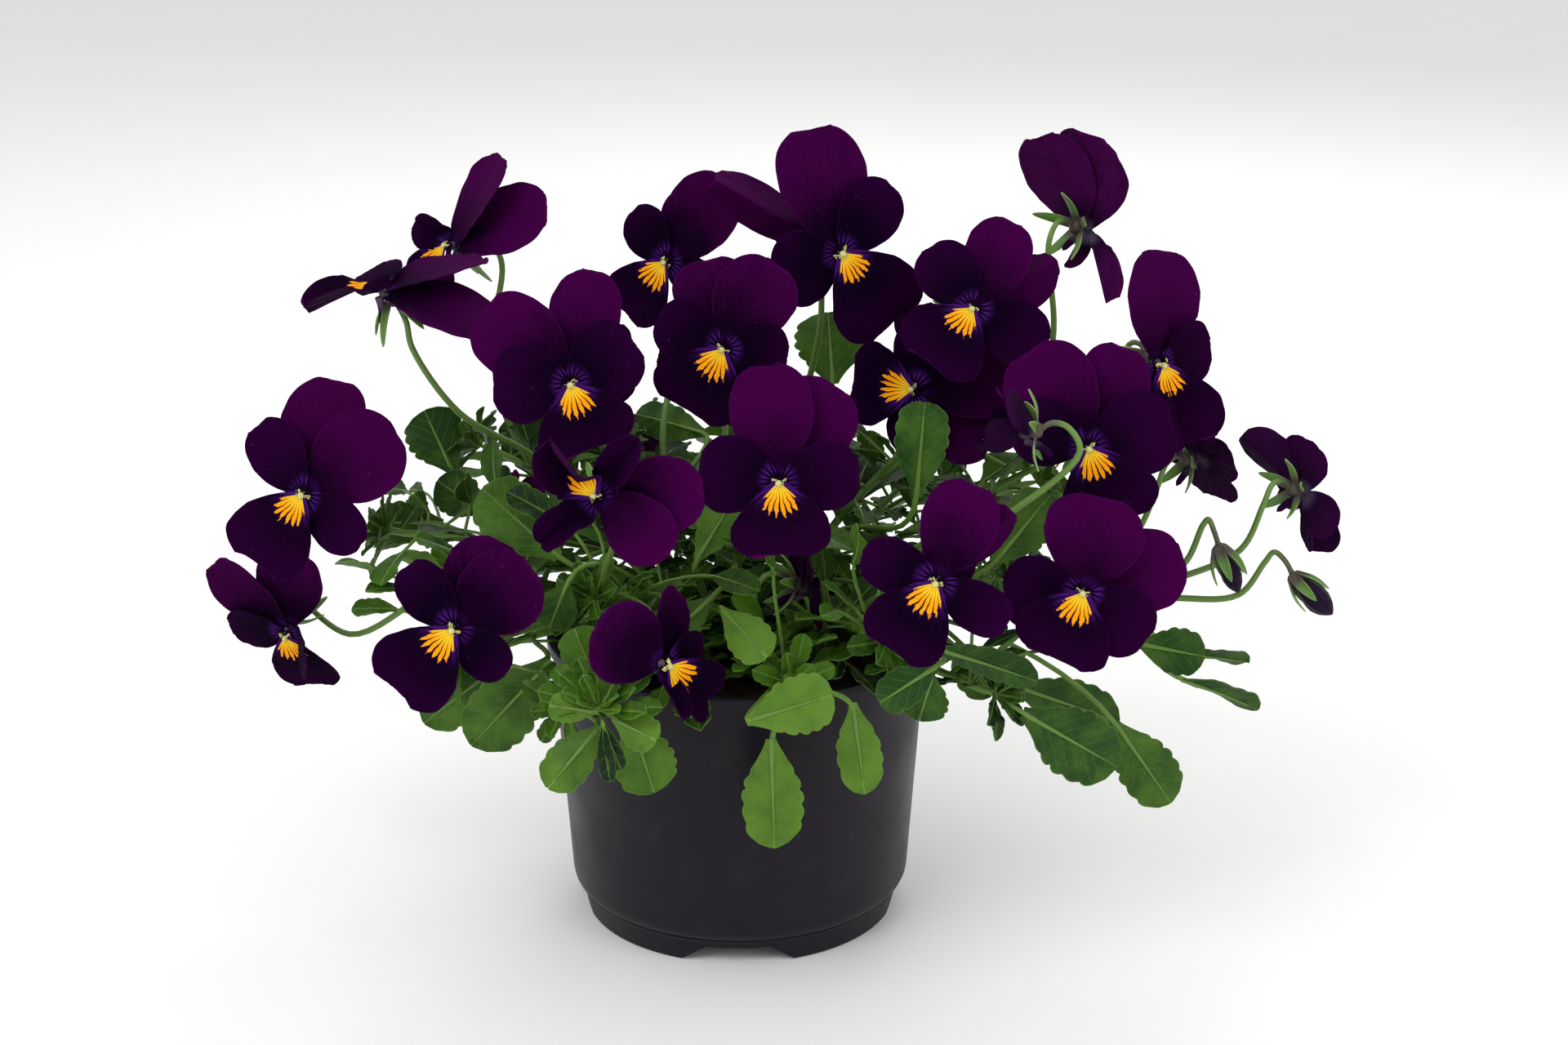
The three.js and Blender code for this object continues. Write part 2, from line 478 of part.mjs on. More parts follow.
// How much further than usual each sepal leans back to be clear of its own petals.
function extraLeansOf(bloom, petals) {
  return sepal.turns.map((turn, index) => {
    const clear = sepal.extraLeans.find((extra) => {
      const [root, tip] = sepalLine(bloom, index, extra);
      const shares = [0.4, 0.55, 0.7, 0.85, 1];
      return shares.every((share) => {
        const point = root.clone().lerp(tip, share);
        return petals.every((ball) => ball.place.distanceTo(point) > bladeBall);
      });
    });
    return clear ?? sepal.extraLeans[sepal.extraLeans.length - 1];
  });
}

function sepalTip(bloom, index) {
  return sepalLine(bloom, index, bloom.closed ? 0 : bloom.extraLeans[index])[1];
}

function bloomBalls(bloom) {
  const balls = [];
  petalOrder.forEach(({ form }, index) => {
    const { length, width } = petalForms[form];
    const pointAt = (along, aside) => petalPoint(bloom, index, along, aside);
    balls.push(...bladeBalls(pointAt, length * bloom.size, width * bloom.size, bloom.name, "petal"));
  });
  return balls;
}

function budBalls(bloom) {
  const tip = moved(bloom.centre, [bloom.face.out, bloom.length]);
  const balls = lineBalls([bloom.centre, tip], bloom.name, "petal");
  balls.forEach((ball) => {
    ball.radius = bloom.radius + 0.9;
  });
  return balls;
}

function calyxBalls(bloom) {
  const points = hookOf(bloom);
  const balls = lineBalls(points, bloom.shoot, "hook");
  for (let index = 0; index < sepal.turns.length; index += 1) {
    balls.push(...lineBalls([points[0], sepalTip(bloom, index)], bloom.shoot, "hook"));
  }
  return balls;
}

// A bloom keeps its place in the view and is moved in depth until it is clear.
const depthSteps = [0, -3, 3, -6, 6, -9, 9, -12, 12, -16, 16, -20, 20, -25, 25];

function layBloom(bloom, seed) {
  bloom.seed = seed;
  bloom.face = faceOf(bloom.turn, bloom.lift);
  bloom.scale = bloom.size || 0.7;
  for (const step of depthSteps) {
    bloom.centre = seenAt(bloom.at, bloom.depth + step);
    const petals = bloom.closed ? budBalls(bloom) : bloomBalls(bloom);
    if (!bloom.closed) bloom.extraLeans = extraLeansOf(bloom, petals);
    const green = calyxBalls(bloom);
    if (clears(petals, ["petal"]) && clears(green, [])) {
      kept.push(...petals, ...green);
      shootNamed[bloom.shoot].flowers.push(bloom);
      return true;
    }
  }
  console.error("no room for", bloom.name);
  return false;
}

// Ways to bend a stalk aside: each is a share of its length, sideways and upwards.
const bends = [[0, 0]];
for (const amount of [0.12, 0.24, 0.38]) {
  for (let turn = 0; turn < 8; turn += 1) bends.push([amount, turn * 45]);
}

function stalkCurve(start, way, end, arrive, bend) {
  const length = start.distanceTo(end);
  const chord = end.clone().sub(start).normalize();
  const level = moved(vec(1, 0, 0), [chord, -chord.x]).normalize();
  const other = chord.clone().cross(level);
  const aside = turned(level, other, bend[1]).multiplyScalar(bend[0] * length);
  return [
    start,
    moved(start, [way, length * 0.35]).add(aside),
    moved(end, [arrive, -length * 0.35]).add(aside),
    end,
  ];
}

function layStalk(bloom) {
  const shoot = shootNamed[bloom.shoot];
  const points = hookOf(bloom);
  const end = points[points.length - 1];
  const arrive = moved(vec(0, 0, 0), [upward, 0.9], [bloom.face.out, -0.25]).normalize();
  const last = stalkBall * 2 + 1;
  for (const shift of [0, -0.12, 0.1, -0.24, 0.2, -0.36]) {
    const from = Math.min(Math.max(bloom.from + shift, 0.22), 0.99);
    const start = bezierPoint(shoot.curve, from);
    const way = bezierWay(shoot.curve, from).lerp(end.clone().sub(start).normalize(), 0.5).normalize();
    for (const bend of bends) {
      const curve = stalkCurve(start, way, end, arrive, bend);
      const balls = curveBalls(curve, shoot.name, "stalk");
      const free = balls.filter((ball) => ball.place.distanceTo(end) > last);
      if (clears(free, ["stem", "stalk"])) {
        bloom.stalk = curve;
        kept.push(...balls);
        return true;
      }
    }
  }
  console.error("no way for the stalk of", bloom.name);
  return false;
}

function leafBalls(leaf, owner) {
  const pointAt = (along, aside) => leafPoint(leaf, along, aside * 1.04);
  return bladeBalls(pointAt, leaf.length, leaf.width, owner);
}

// Tries a leaf's blade and then ways for its stalk. Both must be clear.
function tryLeaf(shoot, leaf, from, ways) {
  const blade = leafBalls(leaf, shoot.name);
  if (!clears(blade, [])) return false;
  const way = bezierWay(shoot.curve, from);
  const start = bezierPoint(shoot.curve, from);
  const leave = way.lerp(leaf.base.clone().sub(start).normalize(), 0.6).normalize();
  const end = leafPoint(leaf, 0.12, 0);
  for (const bend of ways) {
    const curve = stalkCurve(start, leave, end, leaf.ahead, bend);
    const balls = curveBalls(curve, shoot.name, "stalk", 0, 0.9);
    if (clears(balls, ["stem", "stalk"])) {
      leaf.stalk = curve;
      kept.push(...blade, ...balls);
      shoot.leaves.push(leaf);
      return true;
    }
  }
  return false;
}

function laySeenLeaf(spec, seed) {
  const shoot = shootNamed[spec.shoot];
  for (const step of depthSteps.slice(0, 13)) {
    const base = seenAt(spec.base, spec.depths[0] + step);
    const tip = seenAt(spec.tip, spec.depths[1] + step);
    const ahead = tip.clone().sub(base).normalize();
    const flat = ahead.clone().cross(sightAt(base)).normalize();
    const toEye = flat.clone().cross(ahead).negate();
    const side = turned(flat, toEye, spec.turn || 0);
    const face = side.clone().cross(ahead);
    const leaf = {
      seed, base, ahead, side, face, length: base.distanceTo(tip), width: spec.width,
      arch: 0.1, fold: 0.16, wave: 0.12, teeth: spec.width > 12.5 ? 3 : 2, stalkRows: [0, 0.45],
    };
    if (tryLeaf(shoot, leaf, spec.from, bends.slice(0, 17))) return true;
  }
  console.error("no room for the seen leaf at", spec.base.join(" "));
  return false;
}

// The directions of a leaf that leaves a shoot at a turn about the upright and a rise.
function leafWay(turn, rise) {
  const level = turned(vec(1, 0, 0), vec(0, 1, 0), turn);
  const ahead = turned(level, upward, rise);
  const face = turned(upward, level, -rise);
  return { ahead, face, side: ahead.clone().cross(face) };
}

function layFiller(shoot, order, index) {
  const seed = 100 + order * 10 + index;
  const from = fillers.places[index];
  const length = between(fillers.length, draw(seed, 1));
  const width = length * between(fillers.width, draw(seed, 2));
  const reach = between(fillers.stalk, draw(seed, 3));
  const rise = between(fillers.rise, draw(seed, 4));
  const first = order * 61 + index * fillers.goldenTurn;
  const start = bezierPoint(shoot.curve, from);
  for (const extraRise of fillers.rises) {
    for (const extraTurn of fillers.turns) {
      const { ahead, face, side } = leafWay(first + extraTurn, rise + extraRise);
      const base = moved(start, [ahead, reach]);
      const leaf = {
        seed, base, ahead, side, face, length, width,
        arch: 0.22, fold: 0.16, wave: 0.12, teeth: 2, stalkRows: [0],
      };
      if (tryLeaf(shoot, leaf, from, [[0, 0]])) return true;
    }
  }
  return false;
}

function layOut() {
  shoots.forEach(layShoot);
  for (const bud of buds) bud.closed = true;
  const flowers = [...blooms, ...buds].filter((bloom, index) => layBloom(bloom, index + 1));
  const held = flowers.filter(layStalk);
  seenLeaves.forEach(laySeenLeaf);
  shoots.forEach((shoot, order) => {
    const most = shoot.tip[1] > 30 ? fillers.farLeaves : fillers.leaves;
    fillers.places.forEach((place, index) => shoot.leaves.length < most && layFiller(shoot, order, index));
  });
  return held;
}

// A closed solid from a three.js geometry.
function solidOf(geometry) {
  const bare = new THREE.BufferGeometry();
  bare.setAttribute("position", geometry.getAttribute("position"));
  if (geometry.index) bare.setIndex(geometry.index);
  const merged = mergeVertices(bare, 1e-4);
  const mesh = {
    numProp: 3,
    vertProperties: new Float32Array(merged.getAttribute("position").array),
    triVerts: new Uint32Array(merged.index.array),
  };
  const solid = new wasm.Manifold(new wasm.Mesh(mesh));
  if (solid.volume() > 0) return solid;
  for (let index = 0; index < mesh.triVerts.length; index += 3) {
    const second = mesh.triVerts[index + 1];
    mesh.triVerts[index + 1] = mesh.triVerts[index + 2];
    mesh.triVerts[index + 2] = second;
  }
  return new wasm.Manifold(new wasm.Mesh(mesh));
}

function geometryOf(solid) {
  const mesh = solid.getMesh();
  const geometry = new THREE.BufferGeometry();
  const places = new Float32Array(mesh.numVert * 3);
  for (let vertex = 0; vertex < mesh.numVert; vertex += 1) {
    for (let axis = 0; axis < 3; axis += 1) {
      places[vertex * 3 + axis] = mesh.vertProperties[vertex * mesh.numProp + axis];
    }
  }
  geometry.setAttribute("position", new THREE.BufferAttribute(places, 3));
  geometry.setIndex(new THREE.BufferAttribute(new Uint32Array(mesh.triVerts), 1));
  geometry.computeVertexNormals();
  return geometry;
}

// Joins solids into one body. A scrap that nothing holds is dropped.
function fused(solids) {
  const whole = solids.reduce((sum, solid) => sum.add(solid)).simplify(0.05);
  const bodies = whole.decompose();
  return bodies.reduce((best, body) => (body.volume() > best.volume() ? body : best));
}

function tube(points, radius, sides, steps) {
  const outline = new THREE.Shape();
  for (let side = 0; side < sides; side += 1) {
    const angle = (side / sides) * Math.PI * 2;
    const corner = [radius * Math.cos(angle), radius * Math.sin(angle)];
    if (side === 0) outline.moveTo(...corner);
    else outline.lineTo(...corner);
  }
  const path = new THREE.CatmullRomCurve3(points);
  return solidOf(new THREE.ExtrudeGeometry(outline, { steps, extrudePath: path }));
}

function solidOfFaces(faces) {
  const places = new Float32Array(faces.flat().flatMap((point) => point.toArray()));
  const geometry = new THREE.BufferGeometry();
  return solidOf(geometry.setAttribute("position", new THREE.BufferAttribute(places, 3)));
}

// The triangles between two rows of points, which may hold different numbers of points.
function facesBetween(low, high) {
  const faces = [];
  let [left, right] = [0, 0];
  while (left < low.length - 1 || right < high.length - 1) {
    const lowNext = left < low.length - 1 ? (left + 1) / (low.length - 1) : Infinity;
    const highNext = right < high.length - 1 ? (right + 1) / (high.length - 1) : Infinity;
    if (lowNext <= highNext) {
      faces.push([low[left], low[left + 1], high[right]]);
      left += 1;
    } else {
      faces.push([low[left], high[right + 1], high[right]]);
      right += 1;
    }
  }
  return faces;
}

// The outer faces of a blade from rows of points on its middle surface, each row with its
// thickness. Front and back are split into the same triangles. Where the root's own corners are
// given, front and back, the blade is open there and meets what it grows from.
function bladeFaces(rows, rootCorners) {
  const numbered = [];
  const points = [];
  const halves = [];
  for (const { row, thickness } of rows) {
    numbered.push(row.map((point) => points.push(point) - 1));
    halves.push(...row.map(() => thickness / 2));
  }
  const faces = numbered.slice(1).flatMap((row, index) => facesBetween(numbered[index], row));
  const normals = points.map(() => vec(0, 0, 0));
  for (const face of faces) {
    const [a, b, c] = face.map((index) => points[index]);
    const normal = b.clone().sub(a).cross(c.clone().sub(a));
    for (const index of face) normals[index].add(normal);
  }
  const [front, back] = [1, -1].map((sign) =>
    points.map((point, index) => moved(point, [normals[index].clone().normalize(), sign * halves[index]])),
  );
  if (rootCorners) {
    front.splice(0, 2, ...rootCorners.front);
    back.splice(0, 2, ...rootCorners.back);
  }
  const solid = [];
  for (const [a, b, c] of faces) solid.push([front[a], front[b], front[c]], [back[a], back[c], back[b]]);
  const rim = numbered.slice(1, -1).map((row) => row[row.length - 1]);
  rim.push(...[...numbered[numbered.length - 1]].reverse());
  rim.push(...numbered.slice(1, -1).reverse().map((row) => row[0]));
  const ends = [numbered[0][numbered[0].length - 1], ...rim, numbered[0][0]];
  if (!rootCorners) ends.push(...numbered[0].slice(1));
  ends.slice(1).forEach((end, index) => {
    const begin = ends[index];
    solid.push([front[end], front[begin], back[begin]], [front[end], back[begin], back[end]]);
  });
  return solid;
}

// The flat face that closes a ring of corners at its front or its back.
function cap(corners, place, facing) {
  const faces = [];
  for (let index = 1; index < corners.length - 1; index += 1) {
    const [a, b, c] = [corners[0][place], corners[index][place], corners[index + 1][place]];
    faces.push(facing ? [a, c, b] : [a, b, c]);
  }
  return faces;
}

const petalRows = { usual: [0.36, 0.74, 0.985], bent: [0.2, 0.42, 0.74, 0.985] };

// The rows of points that a petal's solid is made of. A folded one has points along its middle.
function rowsOf(bloom, index) {
  const folded = bloom.fold && bloom.fold[index] !== 0;
  const leaned = bloom.lean && Math.abs(bloom.lean[index] - petalOrder[index].lean) > 5;
  const asides = folded ? [-1, 0, 1] : [-1, 1];
  return (folded || leaned ? petalRows.bent : petalRows.usual).map((along) => ({
    row: asides.map((aside) => petalPoint(bloom, index, along, aside)),
    thickness: bladeThickness,
  }));
}

// Five petals grown from a five-sided throat: each side of the throat holds one petal's claw.
function bloomSolid(bloom) {
  const { out, up, right } = bloom.face;
  const half = bladeThickness / 2;
  const angleOf = (index) => ((bloom.angles[index] % 360) + 360) % 360;
  const ring = petalOrder.map((petal, index) => index).sort((one, other) => angleOf(one) - angleOf(other));
  const corners = ring.map((index, place) => {
    const next = ring[(place + 1) % ring.length];
    const gap = (angleOf(next) - angleOf(index) + 360) % 360;
    const level = turned(up, right, angleOf(index) + gap / 2);
    const layers = [petalOrder[index].layer, petalOrder[next].layer].sort((one, other) => one - other);
    const heights = [throat.back, ...layers.flatMap((layer) => [layer - half, layer + half]), throat.front];
    const chain = heights.map((height) => moved(bloom.centre, [level, throat.radius], [out, height]));
    return { heights, chain, back: chain[0], front: chain[chain.length - 1] };
  });
  const faces = [...cap(corners, "front", true), ...cap(corners, "back", false)];
  ring.forEach((index, place) => {
    const { layer } = petalOrder[index];
    const sides = [corners[(place + ring.length - 1) % ring.length], corners[place]];
    const below = sides.map(({ heights, chain }) => chain.filter((point, at) => heights[at] < layer));
    const above = sides.map(({ heights, chain }) => chain.filter((point, at) => heights[at] > layer));
    for (const [left, rightChain] of [below, above]) faces.push(...facesBetween(left, rightChain));
    const corner = (chains, end) => chains.map((chain) => chain[end === "first" ? 0 : chain.length - 1]);
    const rootCorners = { front: corner(above, "first"), back: corner(below, "last") };
    const root = rootCorners.front.map((point, side) => point.clone().lerp(rootCorners.back[side], 0.5));
    const rows = [{ row: root, thickness: bladeThickness }, ...rowsOf(bloom, index)];
    faces.push(...bladeFaces(rows, rootCorners));
  });
  return fused([solidOfFaces(faces), spurSolid(bloom)]);
}

function spurSolid(bloom) {
  const { out, up } = bloom.face;
  const [start, end] = [spur.start, spur.end].map(([back, rise]) =>
    moved(bloom.centre, [out, back], [up, rise]),
  );
  return tube([start, end], spur.radius, spur.sides, 1);
}

// A closed bud: rolled petals as a ridged spindle.
function budSolid(bloom) {
  const { length, radius } = bloom;
  const profile = [[0, throat.back], [1.4, throat.back], [radius * 0.8, length * 0.2], [radius, length * 0.5],
    [radius * 0.7, length * 0.8], [0, length]];
  const lathe = new THREE.LatheGeometry(profile.map(([wide, along]) => new THREE.Vector2(wide, along)), 7);
  const { right, out } = bloom.face;
  const axes = new THREE.Matrix4().makeBasis(right, out, right.clone().cross(out));
  return solidOf(lathe.applyMatrix4(axes.setPosition(bloom.centre)));
}

// The calyx: a small five-sided cup whose sides run out into five pointed sepals.
function calyxSolid(bloom) {
  const { out, up, right } = bloom.face;
  const centre = moved(bloom.centre, [up, riseOf(bloom)]);
  const corners = sepal.turns.map((turn, index) => {
    const next = sepal.turns[(index + 1) % sepal.turns.length];
    const level = turned(up, right, turn + ((next - turn + 360) % 360) / 2);
    return {
      front: moved(centre, [level, calyx.frontRadius], [out, calyx.front]),
      back: moved(centre, [level, calyx.backRadius], [out, calyx.back]),
    };
  });
  const faces = [...cap(corners, "front", true), ...cap(corners, "back", false)];
  sepal.turns.forEach((turn, index) => {
    const left = corners[(index + corners.length - 1) % corners.length];
    const side = corners[index];
    const tip = sepalTip(bloom, index);
    faces.push([left.back, left.front, tip], [left.front, side.front, tip]);
    faces.push([side.front, side.back, tip], [side.back, left.back, tip]);
  });
  return solidOfFaces(faces);
}

function stalkSolid(bloom) {
  const points = [];
  for (let step = 0; step < stalk.steps; step += 1) points.push(bezierPoint(bloom.stalk, step / stalk.steps));
  points.push(...hookOf(bloom).reverse());
  return tube(points, stalk.radius, stalk.sides, stalk.steps + stalk.hookSteps);
}

// Places along a leaf's blade with how far its edge reaches: crests and notches by turns.
function scallops(teeth) {
  const rows = [];
  const [first, last] = [0.3, 0.84];
  const step = (last - first) / teeth;
  for (let tooth = 0; tooth < teeth; tooth += 1) {
    rows.push([first + step * tooth, 1.06], [first + step * (tooth + 0.55), 0.86]);
  }
  rows.push([last, 1.1], [0.985, 0.8]);
  return rows;
}

// A leaf: its stalk and its blade are one strip, from inside the shoot to the blade's tip.
function leafSolid(leaf) {
  const rows = leaf.stalkRows.map((share) => {
    const point = bezierPoint(leaf.stalk, share);
    const way = bezierWay(leaf.stalk, share);
    const side = moved(leaf.side, [way, -leaf.side.dot(way)]).normalize();
    const [width, thickness] = share === 0
      ? [petiole.rootWidth, petiole.rootThickness]
      : [petiole.width, petiole.thickness];
    return { row: [-1, 1].map((aside) => moved(point, [side, (aside * width) / 2])), thickness };
  });
  rows.push({ row: [-1, 1].map((aside) => leafPoint(leaf, 0.08, aside)), thickness: bladeThickness });
  for (const [along, reach] of scallops(leaf.teeth)) {
    const row = [-reach, reach].map((aside) => leafPoint(leaf, along, aside));
    rows.push({ row, thickness: bladeThickness });
  }
  return solidOfFaces(bladeFaces(rows));
}

function stemPoints(shoot) {
  const shares = Array.from({ length: stem.steps + 1 }, (_, step) => step / stem.steps);
  return shares.map((share) => bezierPoint(shoot.curve, share));
}

function shootSolid(shoot) {
  const stemSolid = tube(stemPoints(shoot), stem.radius, stem.sides, stem.steps);
  const solids = [stemSolid, ...shoot.leaves.map(leafSolid)];
  for (const bloom of shoot.flowers.filter((flower) => flower.stalk)) {
    solids.push(stalkSolid(bloom), calyxSolid(bloom));
  }
  return fused(solids);
}

// A wedge under the pot's floor, from a notch in the foot inwards, grown by a margin.
function channel(index, margin) {
  const outline = new THREE.Shape();
  const slope = (pot.notchFoot - pot.notchTop) / 2 / pot.notchHeight;
  const foot = pot.notchFoot / 2 + margin + slope;
  const top = pot.notchTop / 2 + margin;
  outline.moveTo(-foot, -1);
  outline.lineTo(foot, -1);
  outline.lineTo(top, pot.notchHeight + margin);
  outline.lineTo(-top, pot.notchHeight + margin);
  const depth = pot.rimRadius - pot.notchReach + margin;
  const wedge = new THREE.ExtrudeGeometry(outline, { depth, steps: 1, bevelEnabled: false });
  wedge.rotateX(Math.PI / 2);
  wedge.translate(0, -pot.notchReach + margin, 0);
  wedge.rotateZ((index / pot.notches) * Math.PI * 2);
  return solidOf(wedge);
}

function drainHole(index) {
  const drill = new THREE.CylinderGeometry(pot.drainRadius, pot.drainRadius, 20, 10);
  drill.rotateX(Math.PI / 2);
  drill.translate(0, -pot.drainRing, 0);
  drill.rotateZ((index / pot.notches) * Math.PI * 2);
  return solidOf(drill);
}

function turnedPot(profile) {
  const points = profile.map(([radius, height]) => new THREE.Vector2(radius, height));
  const lathe = new THREE.LatheGeometry(points, pot.sides);
  lathe.rotateX(Math.PI / 2);
  return solidOf(lathe);
}

function potSolid() {
  const indexes = Array.from({ length: pot.notches }, (_, index) => index);
  const outer = turnedPot([
    [0, 0],
    [pot.footRadius, 0],
    [pot.footTopRadius, pot.footHeight],
    [pot.shoulderRadius, pot.shoulderHeight],
    [pot.lipRadius - 0.4, pot.height - pot.lipHeight],
    [pot.rimRadius, pot.height - pot.lipHeight + 0.5],
    [pot.rimRadius, pot.height],
    [0, pot.height],
  ]);
  const inner = turnedPot([
    [0, pot.floor],
    [pot.footRadius - pot.wall, pot.floor],
    [pot.footTopRadius - pot.wall, pot.footHeight + pot.wall],
    [pot.shoulderRadius - pot.wall, pot.shoulderHeight + pot.wall],
    [pot.lipRadius - pot.wall - 0.4, pot.height - pot.lipHeight],
    [pot.lipRadius - pot.wall, pot.height + 1],
    [0, pot.height + 1],
  ]);
  const outside = indexes.reduce((sum, index) => sum.subtract(channel(index, 0)), outer);
  const inside = indexes.reduce((sum, index) => sum.subtract(channel(index, pot.floor)), inner);
  return indexes.reduce((sum, index) => sum.subtract(drainHole(index)), outside.subtract(inside));
}

// The compost: it fills the pot above the channels and is lumpy on top.
function soilSolid() {
  const wallAt = (height) => {
    const share = (height - pot.shoulderHeight) / (pot.height - pot.lipHeight - pot.shoulderHeight);
    const outer = pot.shoulderRadius + (pot.lipRadius - 0.4 - pot.shoulderRadius) * share;
    return (outer - pot.wall) * Math.cos(Math.PI / pot.sides) - soil.gap;
  };
  const bottom = pot.notchHeight + pot.floor + soil.gap;
  const low = pot.shoulderHeight + pot.wall + 1;
  const inFoot = pot.footTopRadius - pot.wall - 1;
  const middle = soil.middleHeight;
  const profile = [[0, bottom], [inFoot, bottom], [inFoot, low - 1], [wallAt(low), low],
    [wallAt(soil.edgeHeight), soil.edgeHeight], [36, middle - 1.5], [22, middle - 0.3], [0, middle]];
  const points = profile.map(([radius, height]) => new THREE.Vector2(radius, height));
  const lathe = new THREE.LatheGeometry(points, soil.sides);
  lathe.rotateX(Math.PI / 2);
  const place = lathe.getAttribute("position");
  for (let vertex = 0; vertex < place.count; vertex += 1) {
    const reach = Math.hypot(place.getX(vertex), place.getY(vertex));
    if (place.getZ(vertex) > soil.edgeHeight + 0.5 && reach > 1) {
      const turn = Math.round((Math.atan2(place.getY(vertex), place.getX(vertex)) / Math.PI) * 12 + 24) % 24;
      place.setZ(vertex, place.getZ(vertex) + soil.lump * (draw(turn, Math.round(reach)) - 0.5) * 2);
    }
  }
  return shoots.reduce((sum, shoot) => sum.subtract(stemHole(shoot)), solidOf(lathe));
}

// A hole round a stem, a little wider than it and a little deeper than its foot.
function stemHole(shoot) {
  const points = stemPoints(shoot);
  points[0] = moved(points[0], [bezierWay(shoot.curve, 0.01), -hole.below]);
  return tube(points, stem.radius + hole.margin, stem.sides, stem.steps);
}

const materials = {
  plastic: { color: 0x2d2b30, roughness: 0.45, metalness: 0 },
  compost: { color: 0x2a2019, roughness: 0.95, metalness: 0 },
  green: { color: 0x4d7a37, roughness: 0.6, metalness: 0 },
  petal: { color: 0x2e0038, roughness: 0.7, metalness: 0 },
};

function piece(name, solid, material) {
  const mesh = new THREE.Mesh(geometryOf(solid), new THREE.MeshStandardMaterial(materials[material]));
  mesh.name = name;
  return mesh;
}

const flowers = layOut();
const planter = new THREE.Group();
planter.add(piece("pot", potSolid(), "plastic"));
planter.add(piece("soil", soilSolid(), "compost"));
for (const shoot of shoots) planter.add(piece(shoot.name, shootSolid(shoot), "green"));
for (const bloom of flowers) {
  planter.add(piece(bloom.name, bloom.closed ? budSolid(bloom) : bloomSolid(bloom), "petal"));
}

export default planter;
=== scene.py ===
import math

import bpy
import numpy as np
from mathutils import Matrix, Vector, noise


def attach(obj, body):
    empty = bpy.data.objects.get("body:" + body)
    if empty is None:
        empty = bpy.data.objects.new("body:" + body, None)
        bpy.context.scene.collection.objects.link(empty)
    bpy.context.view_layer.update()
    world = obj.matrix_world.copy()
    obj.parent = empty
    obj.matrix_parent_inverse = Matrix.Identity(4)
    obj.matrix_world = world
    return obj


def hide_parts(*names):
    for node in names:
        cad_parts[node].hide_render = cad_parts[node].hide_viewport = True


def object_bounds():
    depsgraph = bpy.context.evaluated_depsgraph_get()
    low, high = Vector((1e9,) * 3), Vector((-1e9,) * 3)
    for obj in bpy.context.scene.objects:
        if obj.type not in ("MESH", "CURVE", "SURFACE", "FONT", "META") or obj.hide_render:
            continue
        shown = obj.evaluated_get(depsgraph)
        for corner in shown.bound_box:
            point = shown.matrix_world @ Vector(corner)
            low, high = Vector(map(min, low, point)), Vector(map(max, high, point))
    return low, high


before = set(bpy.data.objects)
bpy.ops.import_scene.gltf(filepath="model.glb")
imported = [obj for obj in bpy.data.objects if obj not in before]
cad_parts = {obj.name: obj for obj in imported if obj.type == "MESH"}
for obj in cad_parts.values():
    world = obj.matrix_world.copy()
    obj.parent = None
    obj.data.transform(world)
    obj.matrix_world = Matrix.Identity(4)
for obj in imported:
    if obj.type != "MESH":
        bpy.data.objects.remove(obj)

CAD_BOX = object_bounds()
MM = 0.001
DEGREES = math.pi / 180
UP = np.array([0.0, 0.0, 1.0])

# The pot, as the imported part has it.
POT = dict(
    rim=52.5, lip=51.6, lip_height=3.4, height=80.0, shoulder=46.6, shoulder_height=8.4,
    foot_top=44.2, foot=43.2, foot_height=7.0, wall=1.0, floor=1.2, notches=4, notch_foot=31.0,
    notch_top=17.5, notch_height=5.0, notch_reach=20.0, drain=3.5, drain_ring=32.0,
)
SOIL = dict(gap=0.3, edge=72.0, middle=75.0, dome=48, smooth_from=50)
STEM = dict(
    foot=60.3, radius=1.35, tip_radius=0.95, neck_spread=1.1, neck_rise=22, bend_share=0.6, bend_drop=6,
    first_ball=0.12,
)
STALK_STEPS = 3
BLADE = 0.7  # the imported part's petals and leaves are this thick

# The five petals of a bloom of size 1. Widest is the place along the petal where it is widest.
PETAL_FORMS = {
    "upper": dict(length=30, width=23, widest=0.6, claw=0.12, curl=0.1, cup=0.08),
    "side": dict(length=20.5, width=18, widest=0.58, claw=0.14, curl=0.05, cup=0.02),
    "lower": dict(length=19.5, width=25.5, widest=0.68, claw=0.12, curl=0.07, cup=0),
}
PETAL_ORDER = [
    dict(kind="upper", layer=-1.3, lean=-5),
    dict(kind="upper", layer=-2.5, lean=-9),
    dict(kind="side", layer=-0.2, lean=1),
    dict(kind="side", layer=0.1, lean=1),
    dict(kind="lower", layer=1.2, lean=12),
]
BEND = (0.1, 0.34)  # where along its length a petal bends away from its usual lean
# Seeded differences between petals: in lean, angle and twist in degrees, and in size.
PETAL_SWAY = dict(lean=3, angle=6, twist=6, least_size=0.96, more_size=0.08)
LEAF_FORM = dict(widest=0.6, claw=0.16, rise=1.5, roundness=2.7)
VEINS = dict(slant=1.1, spacing=3.4)  # the side veins of a leaf
CALYX = dict(front=-3.5, rise=1.4, front_radius=2.1)
SEPAL = dict(
    length=11.5, turns=[0, 70, 144, -144, -70], leans=[36, 40, 46, 46, 40], closed_lean=-72,
    extra_leans=[0, 8, 16, 24, 32, 40], turn_sway=12, lean_sway=8, ring=0.8, least_scale=0.75,
    half_width=1.5, ear=0.16, bow=0.6, hollow=0.18, front=0.3,
)
HOOK = dict(start=-4.7, rise=2.6, later_rise=0.8, steps=[-3.6, -7.4, -10.4], drop=3.4)
SPUR = dict(start=(-2, -1.6), end=(-9.4, -4.4), radius=1.05, bow=0.6)

# The line of sight that places are read along: a view of 1920 by 1280 points from the front.
VIEW = dict(
    eye=np.array([12.3, -669.0, 334.0]), pitch=18.5, focal=3200, middle=(960, 640), width=1920, sensor=36,
)

